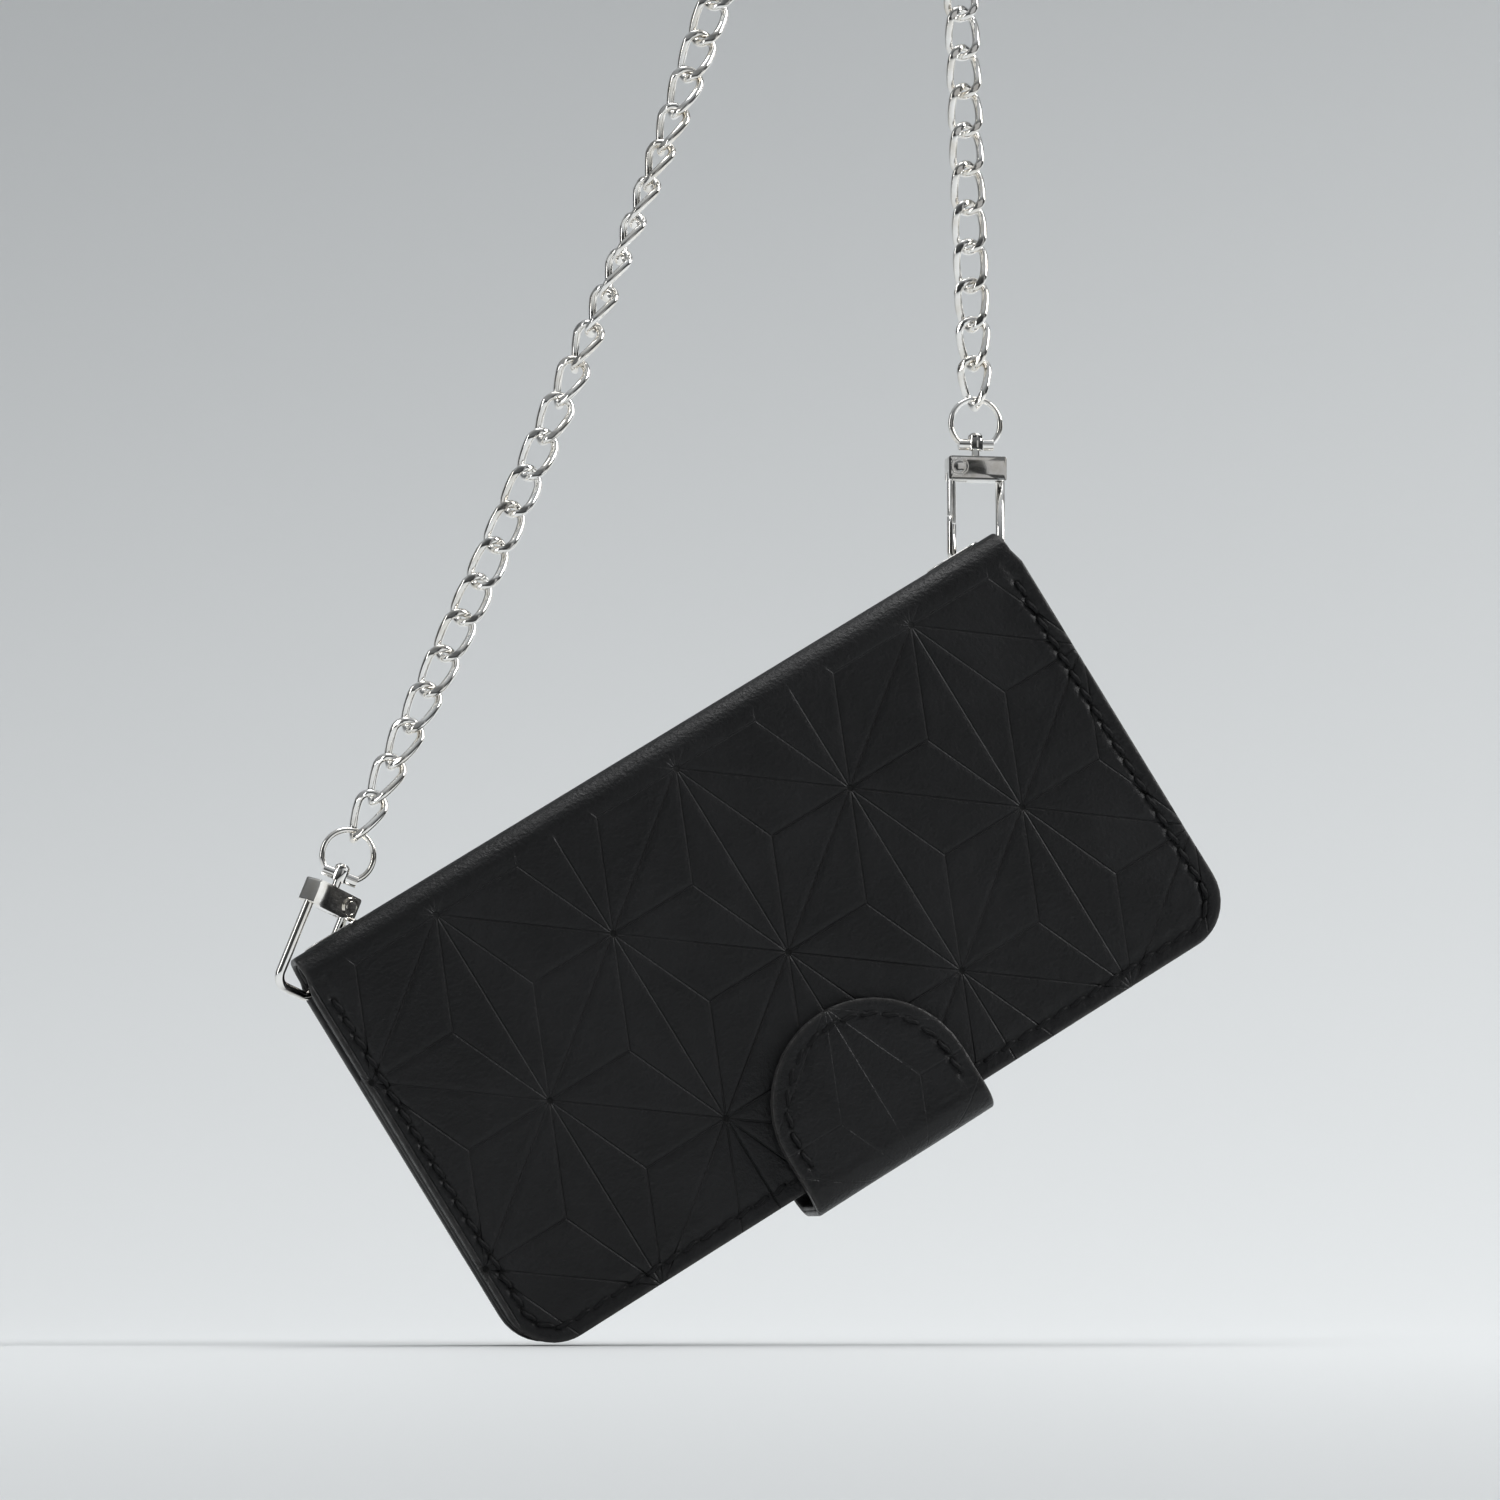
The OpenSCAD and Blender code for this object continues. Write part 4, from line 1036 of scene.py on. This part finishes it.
class Route:
    """The strap's centre line, from the left ring over the arch to the right ring, in millimetres."""

    def __init__(self):
        self.left_top = ring_top("left")
        self.right_top = ring_top("right")
        turn = lambda w: row([math.cos(math.radians(w)), 0, math.sin(math.radians(w))])
        self.arch_left = ARCH_CENTRE + ARCH_RADIUS * turn(180 - LEFT_ARCH)
        self.arch_right = ARCH_CENTRE + ARCH_RADIUS * turn(RIGHT_ARCH)
        self.left_run = np.linalg.norm(self.arch_left - self.left_top)
        self.arch_run = ARCH_RADIUS * math.radians(180 - LEFT_ARCH - RIGHT_ARCH)
        self.right_run = np.linalg.norm(self.right_top - self.arch_right)
        length = self.left_run + self.arch_run + self.right_run
        hold = (RING_WIRE + LINK_WIRE) / 2 + LINK_PLAY
        usable = length - LINK_WIRE - LINK_PLAY + 2 * hold
        self.count = round(usable / PITCH_WANTED)
        self.pitch = usable / self.count
        self.half_link = (self.pitch + LINK_WIRE + LINK_PLAY) / 2
        self.first = self.half_link - hold - self.pitch / 2
        self.length = length
        self.arch_first = round((self.left_run - self.first) / self.pitch)
        self.arch_end = round((self.left_run + self.arch_run - self.first) / self.pitch)
        self.left_middle = round(self.arch_first / 2 + 1e-9)
        self.right_middle = round((self.arch_end + self.count) / 2 + 1e-9)

    def at(self, s):
        if s < self.left_run:
            t = s / self.left_run
            return self.left_top + t * (self.arch_left - self.left_top) + 4 * SAG * t * (1 - t) * SAG_WAY
        s -= self.left_run
        if s < self.arch_run:
            w = math.radians(180 - LEFT_ARCH) - s / ARCH_RADIUS
            return ARCH_CENTRE + ARCH_RADIUS * row([math.cos(w), 0, math.sin(w)])
        return self.arch_right + (s - self.arch_run) / self.right_run * (self.right_top - self.arch_right)

    def roll(self, s):
        def left(v):
            if v < LEFT_FACE_RUN:
                return -LINK_TWIST / 4 * (1 + math.cos(math.radians(180 * v / LEFT_FACE_RUN)))
            away = math.radians(360 * (v - LEFT_FACE_RUN) / LEFT_TURN_RUN)
            return -LEFT_TURN * (1 - math.cos(away))

        if s < self.left_run:
            return left(s)
        if s < self.left_run + self.arch_run:
            return left(self.left_run) * (1 - (s - self.left_run) / self.arch_run)
        v = self.length - s
        if v >= RIGHT_FACE_RUN:
            return 0.0
        return LINK_TWIST / 4 * (1 + math.cos(math.radians(180 * v / RIGHT_FACE_RUN)))


def link_shape(half_link, steps=20, straight=6, sides=18):
    """One curb link: a stadium of wire, twisted from end to end and ground flat on its two faces."""
    hw = (LINK_WIDTH - LINK_WIRE) / 2
    loop = []
    for k in range(steps + 1):
        w = math.radians(-90 + 180 * k / steps)
        loop.append((half_link - hw + hw * math.cos(w), hw * math.sin(w)))
    span = 2 * (half_link - hw)
    loop += [(half_link - hw - span * k / straight, hw) for k in range(1, straight)]
    for k in range(steps + 1):
        w = math.radians(90 + 180 * k / steps)
        loop.append((hw - half_link + hw * math.cos(w), hw * math.sin(w)))
    loop += [(hw - half_link + span * k / straight, -hw) for k in range(1, straight)]
    loop = np.array(loop)
    w = np.radians(LINK_TWIST / 2) * loop[:, 0] / half_link
    centres = np.stack([loop[:, 0], loop[:, 1] * np.cos(w), loop[:, 1] * np.sin(w)], -1)
    side = np.stack([np.zeros(len(w)), -np.sin(w), np.cos(w)], -1)
    points, faces = tube(centres, side, LINK_WIRE / 2, sides, closed=True)
    points[:, 2] = np.clip(points[:, 2], -GROUND, GROUND)
    return points, faces


def make_chain():
    route = Route()
    half = route.half_link
    p, f = link_shape(half)
    chain = material_for("chain")
    groups = (
        ("left_chain_lower", 0, route.left_middle, "chain_runs"),
        ("left_chain_upper", route.left_middle, route.arch_first, "chain_runs"),
        ("chain_arch", route.arch_first, route.arch_end, "arch"),
        ("right_chain_upper", route.arch_end, route.right_middle, "chain_runs"),
        ("right_chain_lower", route.right_middle, route.count, "chain_runs"),
    )
    for name, first, end, body in groups:
        parts = []
        for i in range(first, end):
            a0 = route.at(route.first + i * route.pitch)
            a1 = route.at(route.first + (i + 1) * route.pitch)
            along = (a1 - a0) / np.linalg.norm(a1 - a0)
            face = np.cross(Y, along)
            face /= np.linalg.norm(face)
            back = np.cross(along, face)
            w = math.radians(route.roll(route.first + (i + 0.5) * route.pitch))
            a = math.cos(w) * face + math.sin(w) * back
            b = np.cross(along, a)
            m = (a0 + a1) / 2
            q = m + p[:, :1] * along + p[:, 1:2] * a + p[:, 2:3] * b
            parts.append((q * MM, f))
        points, faces = merged(parts)
        obj = build_mesh(name + "_links", points, faces, chain, 28)
        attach(obj, body)
        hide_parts(name)


# ---------- studio ----------

# The camera: its place from the wallet's middle in mm, its turn and rise in degrees, lens and sensor in mm
CAMERA_AWAY = row([-165.853, -976.333, -60.736])
CAMERA_AZIMUTH = 9.464
CAMERA_RISE = -5.617
LENS = 124.8
SENSOR = 36.0

# Name, place and aim in metres from the wallet's middle (None aims at it), size in metres, watts
SOFT_LIGHTS = (
    ("soft_top", (-0.05, 0.1, 1.25), None, (0.8, 0.5), 8.5),
    ("soft_left", (-1.25, -0.45, 0.45), None, (0.22, 0.9), 3),
    ("soft_right", (1.15, -0.35, 0.85), None, (0.35, 0.8), 11),
    ("paper_light", (1.7, 0.7, 0.6), (1.0, 1.9, -0.1), (0.8, 0.8), 7.5),
    ("floor_light", (0.8, 0.5, 1.5), (0.6, 0.4, -0.3), (1.0, 0.6), 2),
    ("front_card", (0.5, -1.5, 0.35), None, (0.6, 0.5), 0.35),
)
# The paper in metres: where its bend starts, the bend's radius, its front edge, its top, half its width,
# and how far it lies below the wallet
PAPER_START = 0.22
PAPER_BEND = 1.9
PAPER_FRONT = -2.4
PAPER_TOP = 3.4
PAPER_HALF = 4.5
PAPER_BELOW = 0.0006
# How bright the air is from straight down (0) to straight up (1), and its cool tint
AIR_TINT = (0.93, 0.97, 1.0)
AIR_SHADES = ((0.0, 0.25), (0.42, 0.12), (0.56, 0.05), (0.72, 0.30), (1.0, 1.0))


def soft_light(name, place, aim, size, power):
    data = bpy.data.lights.new(name, "AREA")
    data.shape = "RECTANGLE"
    data.size, data.size_y = size
    data.energy = power
    obj = bpy.data.objects.new(name, data)
    bpy.context.scene.collection.objects.link(obj)
    obj.location = place
    obj.rotation_euler = (Vector(aim) - Vector(place)).to_track_quat("-Z", "Y").to_euler()
    return obj


def make_stage():
    scene = bpy.context.scene
    look = scene.wallet_looks
    low = min(CAD_BOX[0][2], CAD_BOX[1][2])
    centre = Vector(HOME)
    floor_z = low - PAPER_BELOW
    m = Shader("studio_paper")
    cloud = m.noise(1.5, 2, 0.5)
    m.set(
        Base_Color=m.mix(cloud, tint(look.floor_color, 0.985), tint(look.floor_color, 1.015)),
        Roughness=0.62, Specular_IOR_Level=0.25, Normal=m.bump(m.noise(900, 3), 0.03, 0.0002),
    )
    start, bend = PAPER_START, look.paper_bend
    turns = np.linspace(0, math.pi / 2, 48)
    section = [(PAPER_FRONT, 0.0)]
    section += [(start + bend * math.sin(w), bend - bend * math.cos(w)) for w in turns]
    section += [(start + bend, PAPER_TOP)]
    xs = (-PAPER_HALF, PAPER_HALF)
    points = [(x, y, floor_z + z) for y, z in section for x in xs]
    faces = [(2 * i, 2 * i + 1, 2 * i + 3, 2 * i + 2) for i in range(len(section) - 1)]
    floor = build_mesh("studio_floor", points, faces, m.material, 60)

    world = bpy.data.worlds.new("studio_air")
    world.use_nodes = True
    tree = world.node_tree
    air = tree.nodes["Background"]
    way = tree.nodes.new("ShaderNodeTexCoord")
    split = tree.nodes.new("ShaderNodeSeparateXYZ")
    ramp = tree.nodes.new("ShaderNodeValToRGB")
    lift = tree.nodes.new("ShaderNodeMapRange")
    lift.inputs["From Min"].default_value = -1.0
    tree.links.new(way.outputs["Generated"], split.inputs[0])
    tree.links.new(split.outputs[2], lift.inputs["Value"])
    tree.links.new(lift.outputs[0], ramp.inputs[0])
    tree.links.new(ramp.outputs[0], air.inputs["Color"])
    ramp.color_ramp.elements[0].position = AIR_SHADES[0][0]
    ramp.color_ramp.elements[1].position = AIR_SHADES[-1][0]
    for place, _ in AIR_SHADES[1:-1]:
        ramp.color_ramp.elements.new(place)
    for element, (_, shade) in zip(ramp.color_ramp.elements, AIR_SHADES):
        element.color = (*(shade * part for part in AIR_TINT), 1)
    air.inputs["Strength"].default_value = look.fill
    scene.world = world
    for name, away, aim, size, power in SOFT_LIGHTS:
        target = centre if aim is None else centre + Vector(aim)
        soft_light(name, centre + Vector(away), target, size, power * look.key)

    data = bpy.data.cameras.new("camera")
    data.sensor_width = SENSOR
    data.lens = LENS
    data.clip_start = 0.01
    data.clip_end = 20
    camera = bpy.data.objects.new("camera", data)
    scene.collection.objects.link(camera)
    a, e = math.radians(CAMERA_AZIMUTH), math.radians(CAMERA_RISE)
    forward = Vector((math.sin(a) * math.cos(e), math.cos(a) * math.cos(e), -math.sin(e)))
    right = Vector((math.cos(a), -math.sin(a), 0))
    up = right.cross(forward)
    spot = Vector(HOME + CAMERA_AWAY * MM)
    camera.matrix_world = Matrix((
        (right.x, up.x, -forward.x, spot.x),
        (right.y, up.y, -forward.y, spot.y),
        (right.z, up.z, -forward.z, spot.z),
        (0, 0, 0, 1),
    ))
    scene.camera = camera
    scene.view_settings.view_transform = "Standard"


# ---------- hidden nodes and the add-on ----------


def make_hidden():
    """Finish of the magnets, which keep their own shape inside the leather."""
    for node in ("cover_magnet", "tab_magnet"):
        for slot in NODES[node].material_slots:
            slot.link = "OBJECT"
            slot.material = material_for("magnet")


class WalletLooks(bpy.types.PropertyGroup):
    """Sizes, colours and lights that a user would change"""

    leather_color: bpy.props.FloatVectorProperty(
        name="Leather", description="Colour of the outer leather", default=(0.0052, 0.0052, 0.0058),
        size=3, min=0, max=1, subtype="COLOR",
    )
    thread_color: bpy.props.FloatVectorProperty(
        name="Thread", description="Colour of the stitching thread", default=(0.003, 0.003, 0.0034),
        size=3, min=0, max=1, subtype="COLOR",
    )
    metal_color: bpy.props.FloatVectorProperty(
        name="Metal", description="Colour of the chain and the clasps", default=(0.92, 0.91, 0.89),
        size=3, min=0, max=1, subtype="COLOR",
    )
    floor_color: bpy.props.FloatVectorProperty(
        name="Paper", description="Colour of the studio paper", default=(0.70, 0.715, 0.72),
        size=3, min=0, max=1, subtype="COLOR",
    )
    stitch_length: bpy.props.FloatProperty(
        name="Stitch length", description="Length of one stitch, in millimetres", default=3.5,
        min=1, max=4,
    )
    thread_radius: bpy.props.FloatProperty(
        name="Thread radius", description="Half the thread's thickness, in millimetres", default=0.44,
        min=0.1, max=0.8,
    )
    paper_bend: bpy.props.FloatProperty(
        name="Paper bend", description="Radius of the paper's bend behind the wallet", default=PAPER_BEND,
        min=0.2, max=3, subtype="DISTANCE", unit="LENGTH",
    )
    key: bpy.props.FloatProperty(
        name="Lights", description="Strength of the soft lights", default=1.0, min=0, max=10,
        subtype="FACTOR",
    )
    fill: bpy.props.FloatProperty(
        name="Fill", description="Strength of the light from all around", default=0.6, min=0, max=10,
        subtype="FACTOR",
    )


class WALLET_OT_covers(bpy.types.Operator):
    """Builds the pressed outer leather of both covers and the spine"""

    bl_idname = "wallet.covers"
    bl_label = "Covers and spine"
    bl_options = {"REGISTER", "UNDO"}

    def execute(self, context):
        make_covers()
        return {"FINISHED"}


class WALLET_OT_interior(bpy.types.Operator):
    """Builds the linings and the pockets"""

    bl_idname = "wallet.interior"
    bl_label = "Linings and pockets"
    bl_options = {"REGISTER", "UNDO"}

    def execute(self, context):
        make_interior()
        return {"FINISHED"}


class WALLET_OT_tab(bpy.types.Operator):
    """Builds the tab that wraps round the free edge"""

    bl_idname = "wallet.tab"
    bl_label = "Closing tab"
    bl_options = {"REGISTER", "UNDO"}

    def execute(self, context):
        make_tab()
        return {"FINISHED"}


class WALLET_OT_stitching(bpy.types.Operator):
    """Sews the covers and the tab"""

    bl_idname = "wallet.stitching"
    bl_label = "Stitching"
    bl_options = {"REGISTER", "UNDO"}

    def execute(self, context):
        make_stitching()
        return {"FINISHED"}


class WALLET_OT_clasps(bpy.types.Operator):
    """Polishes the clasps, the rings and the eyelets"""

    bl_idname = "wallet.clasps"
    bl_label = "Clasps and eyelets"
    bl_options = {"REGISTER", "UNDO"}

    def execute(self, context):
        make_clasps()
        return {"FINISHED"}


class WALLET_OT_chain(bpy.types.Operator):
    """Builds the links of the chain"""

    bl_idname = "wallet.chain"
    bl_label = "Curb chain"
    bl_options = {"REGISTER", "UNDO"}

    def execute(self, context):
        make_chain()
        return {"FINISHED"}


class WALLET_OT_hidden(bpy.types.Operator):
    """Finishes the magnets inside the leather"""

    bl_idname = "wallet.hidden"
    bl_label = "Magnets"
    bl_options = {"REGISTER", "UNDO"}

    def execute(self, context):
        make_hidden()
        return {"FINISHED"}


class WALLET_OT_stage(bpy.types.Operator):
    """Sets the paper, the lights and the camera"""

    bl_idname = "wallet.stage"
    bl_label = "Studio"
    bl_options = {"REGISTER", "UNDO"}

    def execute(self, context):
        make_stage()
        return {"FINISHED"}


OPERATORS = (
    WALLET_OT_covers, WALLET_OT_interior, WALLET_OT_tab, WALLET_OT_stitching,
    WALLET_OT_clasps, WALLET_OT_chain, WALLET_OT_hidden, WALLET_OT_stage,
)


class WALLET_PT_pieces(bpy.types.Panel):
    """Lists the pieces and the colours"""

    bl_label = "Chain wallet"
    bl_idname = "WALLET_PT_pieces"
    bl_space_type = "VIEW_3D"
    bl_region_type = "UI"
    bl_category = "Chain wallet"

    def draw(self, context):
        looks = context.scene.wallet_looks
        for name in WalletLooks.__annotations__:
            self.layout.prop(looks, name)
        for operator in OPERATORS:
            self.layout.operator(operator.bl_idname)


CLASSES = (WalletLooks, *OPERATORS, WALLET_PT_pieces)


def register():
    for cls in CLASSES:
        bpy.utils.register_class(cls)
    bpy.types.Scene.wallet_looks = bpy.props.PointerProperty(type=WalletLooks)


def unregister():
    del bpy.types.Scene.wallet_looks
    for cls in reversed(CLASSES):
        bpy.utils.unregister_class(cls)


def main():
    register()
    bpy.ops.wallet.covers()
    bpy.ops.wallet.interior()
    bpy.ops.wallet.tab()
    bpy.ops.wallet.stitching()
    bpy.ops.wallet.clasps()
    bpy.ops.wallet.chain()
    bpy.ops.wallet.hidden()
    bpy.ops.wallet.stage()


if __name__ == "__main__":
    main()
